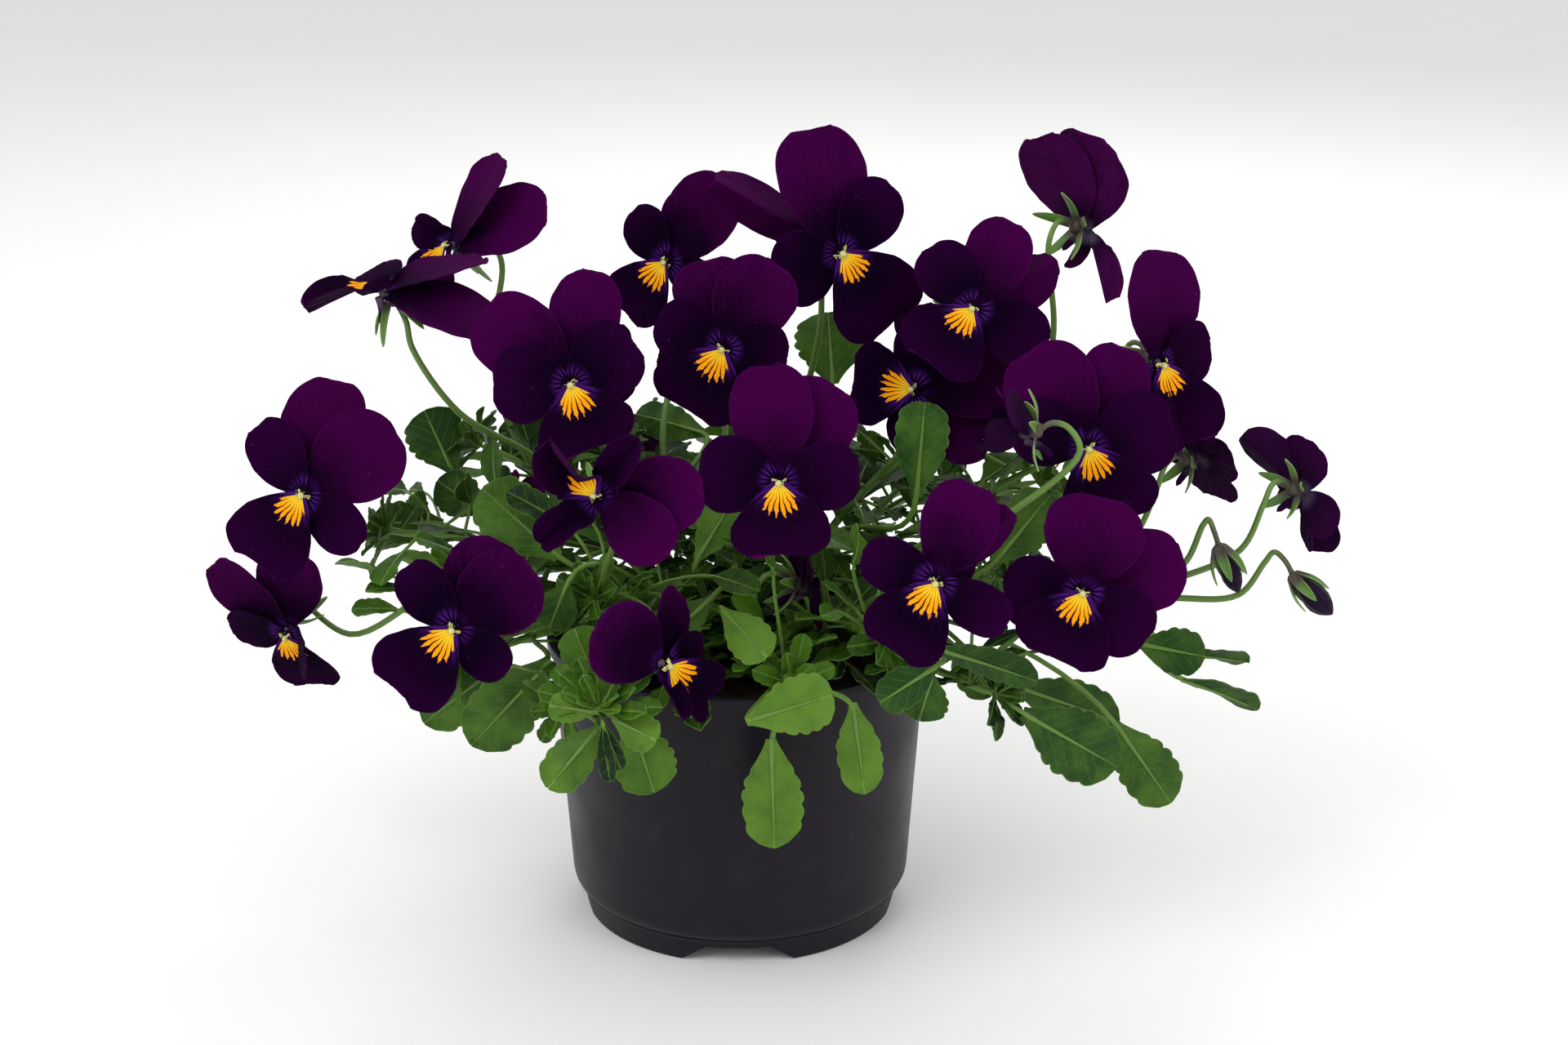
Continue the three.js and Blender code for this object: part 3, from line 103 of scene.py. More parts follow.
SHOOTS = [
    dict(name="shoot_01", root=[-17, -3], tip=[-92, -14, 112], arch=4),
    dict(name="shoot_02", root=[-15, 8], tip=[-72, 26, 124], arch=0),
    dict(name="shoot_03", root=[-15, -13], tip=[-62, -46, 94], arch=8),
    dict(name="shoot_04", root=[-6, 3], tip=[-34, 4, 128], arch=0),
    dict(name="shoot_05", root=[-7, -10], tip=[-36, -44, 104], arch=4),
    dict(name="shoot_06", root=[1, -5], tip=[-2, -26, 120], arch=0),
    dict(name="shoot_07", root=[3, 9], tip=[18, 26, 132], arch=0),
    dict(name="shoot_08", root=[11, 1], tip=[44, 8, 124], arch=0),
    dict(name="shoot_09", root=[9, -11], tip=[38, -52, 96], arch=5),
    dict(name="shoot_10", root=[18, -5], tip=[70, -30, 104], arch=4),
    dict(name="shoot_11", root=[19, 7], tip=[82, 18, 116], arch=2),
    dict(name="shoot_12", root=[24, 0], tip=[104, -4, 90], arch=8),
    dict(name="shoot_13", root=[-11, 17], tip=[-48, 56, 104], arch=2),
    dict(name="shoot_14", root=[13, 17], tip=[58, 56, 104], arch=2),
    dict(name="shoot_15", root=[1, 20], tip=[6, 70, 100], arch=4),
    dict(name="shoot_16", root=[-13, -22], tip=[-42, -66, 84], arch=12),
    dict(name="shoot_17", root=[18, -15], tip=[66, -48, 80], arch=8),
    dict(name="shoot_18", root=[-24, -9], tip=[-72, -30, 82], arch=10),
    dict(name="shoot_19", root=[3, -20], tip=[14, -56, 86], arch=6),
]

BLOOMS = [
    dict(name="bloom_01", shoot="shoot_02", start=0.8, at=[550, 300], depth=22, turn=-64, lift=18,
        size=0.96, angles=[4, 44, -70, 128, 190], lean=[-8, -30, 52, 4, 10], fold=[0, 0, 30, 40, 40],
        long=[1, 1, 0.7, 0.7, 0.8], wide=[1.05, 1.05, 0.7, 0.6, 0.6]),
    dict(name="bloom_02", shoot="shoot_02", start=0.55, at=[466, 352], depth=-6, turn=-72, lift=66,
        size=1, angles=[-14, 34, -85, 112, 182], lean=[-8, -36, 6, 30, 4], fold=[0, 0, 0, 24, 30],
        long=[1, 1.05, 0.9, 0.8, 1.1], wide=[1, 1.1, 0.8, 0.7, 0.7]),
    dict(name="bloom_03", shoot="shoot_04", start=0.85, at=[698, 470], depth=-40, turn=0, lift=14,
        size=0.98, angles=[-50, 12, -88, 57, 158], fold=[0, -26, 0, 0, 0],
        wide=[0.95, 0.84, 1.12, 1.1, 1]),
    dict(name="bloom_04", shoot="shoot_04", start=0.6, at=[817, 320], depth=20, turn=-28, lift=8,
        size=0.88, angles=[31, 10, -42, 118, 218], fold=[0, 0, 0, -20, 0],
        long=[1, 0.78, 0.95, 0.85, 1.12], wide=[1.05, 0.8, 0.9, 0.8, 0.8]),
    dict(name="bloom_05", shoot="shoot_07", start=0.8, at=[1029, 309], depth=12, turn=18, lift=6,
        size=1.1, angles=[-10, -58, -110, 42, 146], fold=[0, -62, 0, 0, 0],
        long=[1, 1.1, 0.88, 0.98, 1.16], wide=[0.97, 0.88, 1.05, 0.86, 0.95]),
    dict(name="bloom_06", shoot="shoot_06", start=0.85, at=[885, 427], depth=-18, turn=0, lift=14,
        size=0.92, angles=[34, -10, -64, 96, 212], long=[0.98, 0.92, 1, 0.9, 1.1]),
    dict(name="bloom_07", shoot="shoot_06", start=0.6, at=[953, 590], depth=-60, turn=2, lift=18,
        size=0.98, angles=[-6, 30, -80, 84, 180], wide=[0.94, 1, 1.08, 1, 1]),
    dict(name="bloom_08", shoot="shoot_08", start=0.85, at=[1191, 378], depth=-4, turn=0, lift=25,
        size=0.94, angles=[22, 56, -32, 116, 216], fold=[0, -50, 0, 0, 0],
        long=[1, 1, 1.02, 1.06, 1.12], wide=[0.84, 0.92, 0.94, 0.95, 1]),
    dict(name="bloom_09", shoot="shoot_08", start=0.6, at=[1119, 477], depth=-26, turn=-15, lift=12,
        size=0.84, angles=[80, 124, 6, 176, 276]),
    dict(name="bloom_10", shoot="shoot_10", start=0.85, at=[1332, 548], depth=-44, turn=0, lift=12,
        size=1, angles=[-32, 22, -72, 72, 159], long=[1, 0.94, 0.96, 1.08, 1.06],
        wide=[1, 0.85, 0.95, 1.18, 0.95]),
    dict(name="bloom_11", shoot="shoot_11", start=0.85, at=[1330, 281], depth=36, turn=132, lift=0,
        size=0.94, angles=[-8, 19, -146, 154, 184], lean=[-5, -14, -6, -6, 20],
        fold=[0, 0, 56, 56, 74], long=[1, 1.04, 0.7, 0.7, 1.3], wide=[1.3, 1.15, 0.5, 0.5, 0.62]),
    dict(name="bloom_12", shoot="shoot_11", start=0.6, at=[1421, 445], depth=-8, turn=34, lift=4,
        size=1, angles=[9, 24, -142, 84, 166], lean=[-4, -24, 0, 2, 14], fold=[0, 0, 46, 0, 30],
        long=[1, 0.8, 0.8, 0.9, 1.25], wide=[1.15, 0.8, 0.7, 1, 0.95]),
    dict(name="bloom_13", shoot="shoot_12", start=0.62, at=[1468, 560], depth=16, turn=124, lift=16,
        size=0.76, angles=[-16, 14, -80, 80, 180]),
    dict(name="bloom_14", shoot="shoot_12", start=0.95, at=[1597, 604], depth=0, turn=124, lift=-6,
        size=0.74, angles=[-6, 48, -118, 112, 196], lean=[-4, -20, 4, 8, 12], fold=[0, 30, 0, 30, 20],
        long=[0.75, 1, 1, 0.75, 1.25], wide=[1, 0.9, 0.9, 0.7, 0.8]),
    dict(name="bloom_17", shoot="shoot_09", start=0.7, at=[1246, 530], depth=-62, turn=-98, lift=8,
        size=0.62, angles=[-24, 24, -92, 92, 180], lean=[58, 48, 58, 60, 62], fold=[0, 0, 8, 8, 40],
        long=[0.74, 0.74, 0.95, 0.95, 0.95], wide=[0.86, 0.86, 0.8, 0.8, 0.56],
        sepal_leans=[-36, -34, 16, 16, -34]),
    dict(name="bloom_18", shoot="shoot_09", start=0.9, at=[1147, 712], depth=-86, turn=-4, lift=6,
        size=0.92, angles=[18, 50, -70, 122, 214], fold=[0, -60, 0, 0, 0],
        long=[0.87, 0.92, 1, 1.08, 1.14], wide=[0.86, 0.9, 0.78, 0.78, 0.9]),
    dict(name="bloom_19", shoot="shoot_10", start=0.65, at=[1326, 725], depth=-72, turn=0, lift=18,
        size=0.95, angles=[10, 72, -92, 126, 206], long=[0.86, 1, 1, 1, 1.05], wide=[1.18, 0.95, 1.05, 1, 1]),
    dict(name="bloom_20", shoot="shoot_01", start=0.9, at=[372, 605], depth=-26, turn=-12, lift=14,
        size=1.02, angles=[52, 8, -36, 130, 213], long=[0.93, 1, 1.05, 0.95, 1.15],
        wide=[1.05, 1, 0.85, 0.75, 0.95]),
    dict(name="bloom_21", shoot="shoot_01", start=0.65, at=[350, 776], depth=4, turn=-14, lift=-30,
        size=0.9, angles=[-42, 10, -88, 104, 168], lean=[-6, -11, 2, 64, 4],
        long=[1, 0.95, 0.95, 0.8, 1.2], wide=[0.85, 0.9, 0.95, 1, 0.85]),
    dict(name="bloom_22", shoot="shoot_03", start=0.9, at=[556, 770], depth=-76, turn=-6, lift=12,
        size=0.92, angles=[52, 24, -40, 132, 220], long=[0.84, 0.84, 1.05, 0.88, 1.18],
        wide=[1, 0.92, 0.85, 0.75, 0.95]),
    dict(name="bloom_23", shoot="shoot_05", start=0.6, at=[814, 814], depth=-80, turn=52, lift=0,
        size=0.82, angles=[-52, 46, -164, 92, 136], lean=[-24, -8, 50, 0, 12], fold=[0, 0, 30, 0, 26],
        long=[0.8, 0.8, 0.9, 0.9, 1.1], wide=[1.08, 0.8, 0.6, 0.8, 0.8]),
    dict(name="bloom_24", shoot="shoot_05", start=0.9, at=[731, 608], depth=-56, turn=-24, lift=6,
        size=0.9, angles=[124, 82, 36, 226, 322], lean=[-5, -9, 8, 8, 18], fold=[0, 0, 45, 52, 68],
        long=[0.82, 0.92, 1.1, 1.05, 1.05], wide=[0.86, 0.92, 0.8, 0.9, 1]),
    dict(name="bloom_25", shoot="shoot_19", start=0.5, at=[992, 722], depth=-34, turn=104, lift=-6,
        size=0.52, angles=[-22, 22, -84, 84, 180]),
    dict(name="bloom_26", shoot="shoot_18", start=0.6, at=[622, 662], depth=14, turn=-60, lift=0,
        size=0.66, angles=[-22, 22, -84, 84, 180]),
    dict(name="bloom_27", shoot="shoot_13", start=0.9, at=[700, 478], depth=62, turn=-160, lift=14,
        size=0.92, angles=[-20, 24, -80, 84, 180]),
    dict(name="bloom_28", shoot="shoot_15", start=0.6, at=[880, 452], depth=62, turn=178, lift=12,
        size=0.88, angles=[-24, 20, -84, 78, 184]),
    dict(name="bloom_29", shoot="shoot_15", start=0.9, at=[950, 574], depth=84, turn=190, lift=6,
        size=0.96, angles=[-18, 26, -80, 80, 176]),
    dict(name="bloom_30", shoot="shoot_14", start=0.6, at=[1180, 462], depth=58, turn=152, lift=14,
        size=0.94, angles=[-26, 18, -86, 80, 180]),
    dict(name="bloom_31", shoot="shoot_14", start=0.9, at=[1316, 540], depth=50, turn=118, lift=8,
        size=0.86, angles=[-20, 24, -80, 86, 190]),
    dict(name="bloom_32", shoot="shoot_13", start=0.6, at=[754, 610], depth=74, turn=-142, lift=4,
        size=0.9, angles=[-24, 20, -82, 80, 172]),
]

BUDS = [
    dict(name="bud_15", shoot="shoot_12", start=0.94, at=[1600, 722], depth=-10, turn=62, lift=-38,
        length=9.5, radius=3.4),
    dict(name="bud_16", shoot="shoot_12", start=0.88, at=[1502, 692], depth=-22, turn=60, lift=-62,
        length=8, radius=2.6),
]

SEEN_LEAVES = [
    dict(shoot="shoot_08", start=0.5, base=[1122, 612], tip=[1133, 488], depths=[-44, -46], width=13),
    dict(shoot="shoot_05", start=0.5, base=[686, 684], tip=[592, 600], depths=[-34, -26], width=17),
    dict(shoot="shoot_02", start=0.5, base=[556, 580], tip=[520, 504], depths=[14, 20], width=16),
    dict(shoot="shoot_02", start=0.35, base=[594, 630], tip=[538, 590], depths=[0, 6], width=12),
    dict(shoot="shoot_01", start=0.5, base=[545, 640], tip=[460, 640], depths=[-6, -4], width=11),
    dict(shoot="shoot_04", start=0.4, base=[662, 590], tip=[636, 506], depths=[18, 26], width=15),
    dict(shoot="shoot_18", start=0.9, base=[622, 806], tip=[524, 882], depths=[-24, -22], width=14),
    dict(shoot="shoot_18", start=0.7, base=[676, 806], tip=[582, 908], depths=[-44, -42], width=17),
    dict(shoot="shoot_16", start=0.6, base=[736, 846], tip=[702, 768], depths=[-74, -72], width=11),
    dict(shoot="shoot_16", start=0.98, base=[735, 888], tip=[672, 964], depths=[-80, -84], width=11),
    dict(shoot="shoot_16", start=0.9, base=[772, 880], tip=[800, 968], depths=[-68, -70], width=15),
    dict(shoot="shoot_16", start=0.99, base=[750, 880], tip=[806, 908], depths=[-84, -90], width=9),
    dict(shoot="shoot_16", start=0.95, base=[732, 872], tip=[670, 864], depths=[-82, -86], width=7),
    dict(shoot="shoot_19", start=0.85, base=[912, 884], tip=[1024, 850], depths=[-70, -76], width=14),
    dict(shoot="shoot_19", start=0.95, base=[944, 902], tip=[948, 1030], depths=[-64, -60], width=15),
    dict(shoot="shoot_19", start=0.98, base=[1044, 858], tip=[1058, 966], depths=[-62, -60], width=11),
    dict(shoot="shoot_17", start=0.6, base=[1150, 814], tip=[1076, 862], depths=[-60, -66], width=10),
    dict(shoot="shoot_17", start=0.5, base=[1142, 826], tip=[1126, 880], depths=[-54, -54], width=12),
    dict(shoot="shoot_17", start=0.98, base=[1250, 872], tip=[1362, 936], depths=[-50, -46], width=18),
    dict(shoot="shoot_10", start=0.4, base=[1366, 886], tip=[1430, 978], depths=[-30, -28], width=15),
    dict(shoot="shoot_12", start=0.4, base=[1236, 838], tip=[1364, 882], depths=[-16, -10], width=14),
    dict(shoot="shoot_10", start=0.6, base=[1216, 692], tip=[1288, 604], depths=[-32, -34], width=14),
    dict(shoot="shoot_12", start=0.7, base=[1392, 788], tip=[1474, 804], depths=[-30, -32], width=12),
    dict(shoot="shoot_12", start=0.9, base=[1446, 832], tip=[1542, 858], depths=[-10, -8], width=11,
        turn=68),
    dict(shoot="shoot_12", start=0.97, base=[1450, 802], tip=[1528, 802], depths=[4, 8], width=9, turn=70),
    dict(shoot="shoot_07", start=0.7, base=[1020, 472], tip=[1014, 384], depths=[36, 44], width=19),
    dict(shoot="shoot_04", start=0.6, base=[868, 532], tip=[784, 508], depths=[14, 24], width=10),
    dict(shoot="shoot_06", start=0.4, base=[852, 688], tip=[898, 612], depths=[-34, -30], width=10),
    dict(shoot="shoot_19", start=0.6, base=[884, 746], tip=[940, 806], depths=[-56, -62], width=11),
    dict(shoot="shoot_06", start=0.5, base=[874, 730], tip=[806, 790], depths=[-60, -66], width=9),
    dict(shoot="shoot_05", start=0.4, base=[696, 712], tip=[672, 770], depths=[-48, -52], width=10),
    dict(shoot="shoot_18", start=0.97, base=[520, 792], tip=[462, 816], depths=[-40, -42], width=10),
    dict(shoot="shoot_17", start=0.7, base=[1140, 792], tip=[1268, 826], depths=[-58, -54], width=9,
        turn=30),
    dict(shoot="shoot_09", start=0.5, base=[1166, 788], tip=[1212, 848], depths=[-46, -44], width=11),
]

# Leaves that fill in round each shoot by rule: places along it, and the sizes they grow to.
FILLERS = dict(
    places=[0.5, 0.72, 0.94, 0.34, 0.83, 0.61], leaves=3, far_leaves=5, far_from=30, golden_turn=137.5,
    length=(17, 25), width=(0.5, 0.62), stalk=(8, 16), rise=(10, 40),
    turns=[0, 20, -20, 42, -42, 68, -68, 95], rises=[0, 22, -22, 40],
)
# The first seed of each kind of piece, which keeps their draws apart.
SEEDS = dict(fillers=100, nodes=3000, tufts=6000, rosette=7600, drooping=7700, bush=9000)


def vec(*numbers):
    return np.array(numbers, float)


def unit(direction):
    return direction / math.sqrt(float(direction @ direction))


def turned(direction, across, angle):
    return direction * math.cos(angle * DEGREES) + across * math.sin(angle * DEGREES)


def draw(seed, step):
    """A seeded draw between 0 and 1."""
    wave = math.sin(seed * 12.9898 + step * 78.233) * 43758.5453
    return wave - math.floor(wave)


def between(limits, share):
    return limits[0] + (limits[1] - limits[0]) * share


def distance(one, other):
    return math.sqrt(float((one - other) @ (one - other)))


def seen_at(place, depth):
    """The point at this depth on the line of sight through a place in the view."""
    right = (place[0] - VIEW["middle"][0]) / VIEW["focal"]
    below = (place[1] - VIEW["middle"][1]) / VIEW["focal"]
    cos, sin = math.cos(VIEW["pitch"] * DEGREES), math.sin(VIEW["pitch"] * DEGREES)
    sight = vec(right, cos - below * sin, -sin - below * cos)
    return VIEW["eye"] + sight * ((depth - VIEW["eye"][1]) / sight[1])


def face_of(turn, lift):
    """Three directions of a bloom: the way it faces, up and right in its face."""
    level = math.cos(lift * DEGREES)
    out = vec(math.sin(turn * DEGREES) * level, -math.cos(turn * DEGREES) * level, math.sin(lift * DEGREES))
    up = unit(UP - out * out[2])
    return dict(out=out, up=up, right=np.cross(up, out))


def petal_share(form, along):
    """How wide a petal is at places along it, as a share of its greatest width."""
    widest, claw = form["widest"], form["claw"]
    low = np.minimum(along, widest) / widest
    high = (np.clip(along, widest, 1) - widest) / (1 - widest)
    rising = claw + (1 - claw) * np.sin(math.pi / 2 * low) ** 0.95
    falling = (1 - high ** 2.3) ** (1 / 2.3)
    return np.where(along < widest, rising, falling)


def past_bend(along):
    """How much of a petal's length up to a place lies past its bend."""
    start, end = BEND
    bending = np.clip(along - start, 0, end - start) ** 2 / (end - start) / 2
    return np.where(along < end, bending, along - (start + end) / 2)


def petal_frame(bloom, index):
    """The directions and sizes of one petal of a bloom."""
    order = PETAL_ORDER[index]
    form = PETAL_FORMS[order["kind"]]
    seed = bloom["seed"] * 7 + index
    sway = PETAL_SWAY["lean"] * (draw(seed, 1) - 0.5)
    angle = bloom["angles"][index] + PETAL_SWAY["angle"] * (draw(seed, 2) - 0.5)
    face = bloom["face"]
    level = turned(face["up"], face["right"], angle)
    lean = (bloom["lean"][index] if "lean" in bloom else order["lean"]) + sway
    long = bloom["long"][index] if "long" in bloom else 1
    wide = bloom["wide"][index] if "wide" in bloom else 1
    longer, wider = (PETAL_SWAY["least_size"] + PETAL_SWAY["more_size"] * draw(seed, step) for step in (3, 4))
    return dict(
        form=form, kind=order["kind"], seed=seed, root=bloom["centre"] + face["out"] * order["layer"],
        length=form["length"] * bloom["size"] * long * longer,
        half=form["width"] / 2 * bloom["size"] * wide * wider,
        side=turned(face["right"], face["up"], -angle),
        start=turned(level, face["out"], order["lean"] + sway),
        ahead=turned(level, face["out"], lean), front=turned(face["out"], level, -lean),
        fold=bloom["fold"][index] if "fold" in bloom else 0,
        sway=PETAL_SWAY["twist"] * (draw(seed, 5) - 0.5),
    )


def petal_points(petal, along, aside, spread=1.0):
    """Points of a petal's middle surface, for arrays of places along it and aside from it."""
    form, length, half = petal["form"], petal["length"], petal["half"]
    past = past_bend(along)
    bent = np.minimum(past / float(past_bend(np.array(BEND[1]))), 1)
    twist = (petal["fold"] * np.sign(aside) + petal["sway"]) * bent * DEGREES
    cos, sin = np.cos(twist)[..., None], np.sin(twist)[..., None]
    across = petal["side"] * cos + petal["front"] * sin
    facing = petal["front"] * cos - petal["side"] * sin
    reach = half * petal_share(form, along) * aside * spread
    spine = petal["root"] + petal["start"] * (length * (along - past))[..., None]
    spine = spine + petal["ahead"] * (length * past)[..., None]
    spine = spine - petal["front"] * (form["curl"] * length * along * along)[..., None]
    return spine + across * reach[..., None] + facing * (form["cup"] * reach * reach / half)[..., None]


def leaf_share(along):
    """How wide a leaf is at places along it, as a share of its greatest width."""
    widest, claw, roundness = LEAF_FORM["widest"], LEAF_FORM["claw"], LEAF_FORM["roundness"]
    low = np.minimum(along, widest) / widest
    high = (np.clip(along, widest, 1) - widest) / (1 - widest)
    rising = claw + (1 - claw) * np.sin(math.pi / 2 * low) ** LEAF_FORM["rise"]
    return np.where(along < widest, rising, (1 - high ** roundness) ** (1 / roundness))


def leaf_points(leaf, along, aside):
    """Points of a leaf's middle surface. It arches down along its length and folds at its rib."""
    reach = leaf["width"] / 2 * leaf_share(along) * aside
    drop = leaf["arch"] * leaf["length"] * along * along
    rise = leaf["fold"] * np.abs(reach) + leaf["wave"] * np.sin(along * 7 + 1) * reach * np.abs(aside)
    places = leaf["base"] + leaf["ahead"] * (leaf["length"] * along)[..., None]
    return places + leaf["side"] * reach[..., None] + leaf["face"] * (rise - drop)[..., None]


def rib_point(leaf, along):
    return leaf_points(leaf, np.array([along]), np.array([0.0]))[0]


def bezier_point(curve, share):
    back = 1 - share
    return (curve[0] * back ** 3 + curve[1] * (3 * back * back * share)
            + curve[2] * (3 * back * share * share) + curve[3] * share ** 3)


def bezier_path(curve, start, end, count):
    return [bezier_point(curve, share) for share in np.linspace(start, end, count)]


def bezier_way(curve, share):
    return unit(bezier_point(curve, share + 0.01) - bezier_point(curve, share - 0.01))


# Balls stand for all that has been laid out, and later pieces keep clear of them. The same rule
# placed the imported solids, so that every piece here lies where its solid is.
SPACING = 2.6
BLADE_BALL = SPACING * 0.71 + BLADE / 2 + 0.1
STALK_BALL = 1.8
STALK_SPACING = 1.6
POT_EASE = 1.2  # balls count as this much smaller where the pot is near
LEAST_HEIGHT = 2


class Balls:
    """Places with one radius, of one owner and one kind."""

    def __init__(self, places, radius, owner, kind):
        self.places = np.array(places, float)
        self.radius = radius
        self.owner = owner
        self.kind = kind


kept = []


def blade_balls(points_at, length, width, owner, kind="blade"):
    rows = max(2, math.ceil(length / SPACING))
    columns = max(1, math.ceil(width / 2 / SPACING))
    along = 0.04 + 0.95 * np.arange(rows + 1) / rows
    aside = np.arange(-columns, columns + 1) / columns
    places = points_at(*np.meshgrid(along, aside, indexing="ij"))
    return [Balls(places.reshape(-1, 3), BLADE_BALL, owner, kind)]


def curve_balls(curve, owner, kind, start=0, end=1):
    steps = math.ceil(distance(curve[0], curve[3]) / STALK_SPACING)
    shares = [start + (end - start) * step / steps for step in range(steps + 1)]
    return [Balls([bezier_point(curve, share) for share in shares], STALK_BALL, owner, kind)]


def line_balls(points, owner, kind, radius=STALK_BALL):
    places = []
    for one, other in zip(points, points[1:]):
        steps = math.ceil(distance(one, other) / STALK_SPACING)
        places += [one + (other - one) * (step / steps) for step in range(steps + 1)]
    return [Balls(places, radius, owner, kind)]


def clears_pot(balls):
    reach = np.hypot(balls.places[:, 0], balls.places[:, 1])
    height = balls.places[:, 2]
    margin = balls.radius - POT_EASE
    outside = (reach > POT["rim"] + margin) | (height > POT["height"] + margin)
    within = (reach < POT["lip"] - 2 - margin) & (height > SOIL["middle"] + margin)
    return bool(np.all((height >= LEAST_HEIGHT) & (outside | within)))


def clears(groups, own_kinds):
    """Whether balls are clear of the pot and of all kept ones, apart from kinds of their own shoot."""
    everything = np.concatenate([balls.places for balls in groups])
    middle = everything.mean(0)
    reach = math.sqrt(float(((everything - middle) ** 2).sum(1).max()))
    if not all(clears_pot(balls) for balls in groups):
        return False
    for other in kept:
        if other.owner == groups[0].owner and other.kind in own_kinds:
            continue
        near = ((other.places - middle) ** 2).sum(1) < (reach + BLADE_BALL * 2) ** 2
        if not near.any():
            continue
        places = other.places[near]
        for balls in groups:
            gaps = ((balls.places[:, None, :] - places[None, :, :]) ** 2).sum(2)
            if (gaps < (balls.radius + other.radius) ** 2).any():
                return False
    return True


shoot_named = {shoot["name"]: shoot for shoot in SHOOTS}


def lay_shoot(shoot):
    foot = vec(*shoot["root"], STEM["foot"])
    tip = vec(*shoot["tip"])
    neck = vec(*(place * STEM["neck_spread"] for place in shoot["root"]), SOIL["middle"] + STEM["neck_rise"])
    bend = foot + (tip - foot) * STEM["bend_share"]
    bend[2] = tip[2] + shoot["arch"] - STEM["bend_drop"]
    shoot.update(curve=[foot, neck, bend, tip], leaves=[], flowers=[])
    kept.extend(curve_balls(shoot["curve"], shoot["name"], "stem", STEM["first_ball"], 1))


def rise_of(bloom):
    return 0 if bloom["closed"] else CALYX["rise"]


def hook_of(bloom):
    """The hooked end of a flower's stalk, from inside the calyx back and down."""
    out, up = bloom["face"]["out"], bloom["face"]["up"]
    start = bloom["centre"] + out * HOOK["start"] + up * rise_of(bloom)
    rise = HOOK["rise"] * math.cos(bloom["lift"] * DEGREES)
    first, second, third = HOOK["steps"]
    return [
        start, start + out * first + UP * rise, start + out * second + UP * (rise * HOOK["later_rise"]),
        start + out * third - UP * HOOK["drop"],
    ]


def sepal_line(bloom, index, extra_lean):
    """A sepal's root and tip. Sepals lean back from an open bloom and lie along a closed bud."""
    face = bloom["face"]
    angle = SEPAL["turns"][index] + SEPAL["turn_sway"] * (draw(bloom["seed"], 20 + index) - 0.5)
    sway = SEPAL["lean_sway"] * (draw(bloom["seed"], 30 + index) - 0.5)
    usual_lean = bloom.get("sepal_leans", SEPAL["leans"])[index]
    lean = SEPAL["closed_lean"] if bloom["closed"] else usual_lean + sway + extra_lean
    level = turned(face["up"], face["right"], angle)
    length = SEPAL["length"] * max(bloom["scale"], SEPAL["least_scale"])
    middle = bloom["centre"] + face["out"] * (CALYX["front"] - SEPAL["ring"]) + face["up"] * rise_of(bloom)
    root = middle + level * CALYX["front_radius"]
    return root, root + turned(level, face["out"], -lean) * length


def extra_leans_of(bloom, petals):
    """How much further than usual each sepal leans back to be clear of its own petals."""
    places = np.concatenate([balls.places for balls in petals])

    def is_clear(index, extra):
        root, tip = sepal_line(bloom, index, extra)
        points = [root + (tip - root) * share for share in (0.4, 0.55, 0.7, 0.85, 1)]
        return all((((places - point) ** 2).sum(1) > BLADE_BALL ** 2).all() for point in points)

    return [
        next((extra for extra in SEPAL["extra_leans"] if is_clear(index, extra)), SEPAL["extra_leans"][-1])
        for index in range(len(SEPAL["turns"]))
    ]


def sepal_ends(bloom, index):
    return sepal_line(bloom, index, 0 if bloom["closed"] else bloom["extra_leans"][index])


def bloom_balls(bloom):
    groups = []
    for index, order in enumerate(PETAL_ORDER):
        form = PETAL_FORMS[order["kind"]]
        petal = petal_frame(bloom, index)
        groups += blade_balls(
            lambda along, aside: petal_points(petal, along, aside),
            form["length"] * bloom["size"], form["width"] * bloom["size"], bloom["name"], "petal",
        )
    return groups


def bud_balls(bloom):
    tip = bloom["centre"] + bloom["face"]["out"] * bloom["length"]
    return line_balls([bloom["centre"], tip], bloom["name"], "petal", bloom["radius"] + 0.9)


def calyx_balls(bloom):
    points = hook_of(bloom)
    groups = line_balls(points, bloom["shoot"], "hook")
    for index in range(len(SEPAL["turns"])):
        groups += line_balls([points[0], sepal_ends(bloom, index)[1]], bloom["shoot"], "hook")
    return groups


DEPTH_STEPS = [0, -3, 3, -6, 6, -9, 9, -12, 12, -16, 16, -20, 20, -25, 25]
LEAF_DEPTH_STEPS = DEPTH_STEPS[:13]


def lay_bloom(bloom, seed):
    """A bloom keeps its place in the view and is moved in depth until it is clear."""
    bloom.update(seed=seed, face=face_of(bloom["turn"], bloom["lift"]), scale=bloom.get("size", 0.7))
    for step in DEPTH_STEPS:
        bloom["centre"] = seen_at(bloom["at"], bloom["depth"] + step)
        petals = bud_balls(bloom) if bloom["closed"] else bloom_balls(bloom)
        if not bloom["closed"]:
            bloom["extra_leans"] = extra_leans_of(bloom, petals)
        green = calyx_balls(bloom)
        if clears(petals, ["petal"]) and clears(green, []):
            kept.extend(petals + green)
            shoot_named[bloom["shoot"]]["flowers"].append(bloom)
            return True
    return False


# Ways to bend a stalk aside: each is a share of its length, sideways and upwards.
BENDS = [(0, 0)] + [(amount, turn * 45) for amount in (0.12, 0.24, 0.38) for turn in range(8)]
LEAF_BENDS = BENDS[:17]
STALK_SHIFTS = (0, -0.12, 0.1, -0.24, 0.2, -0.36)  # other places along the shoot to start from
STALK_STARTS = (0.22, 0.99)
STALK_LEAD = 0.35  # how far a stalk keeps its first and last direction, as a share of its length
STALK_ARRIVE = dict(up=0.9, back=0.25)
TURN_TO_END = dict(flower=0.5, leaf=0.6)  # how much a stalk's first direction turns to its end
LEAF_TRY = dict(wider=1.04, joint=0.12, stalk_end=0.9)


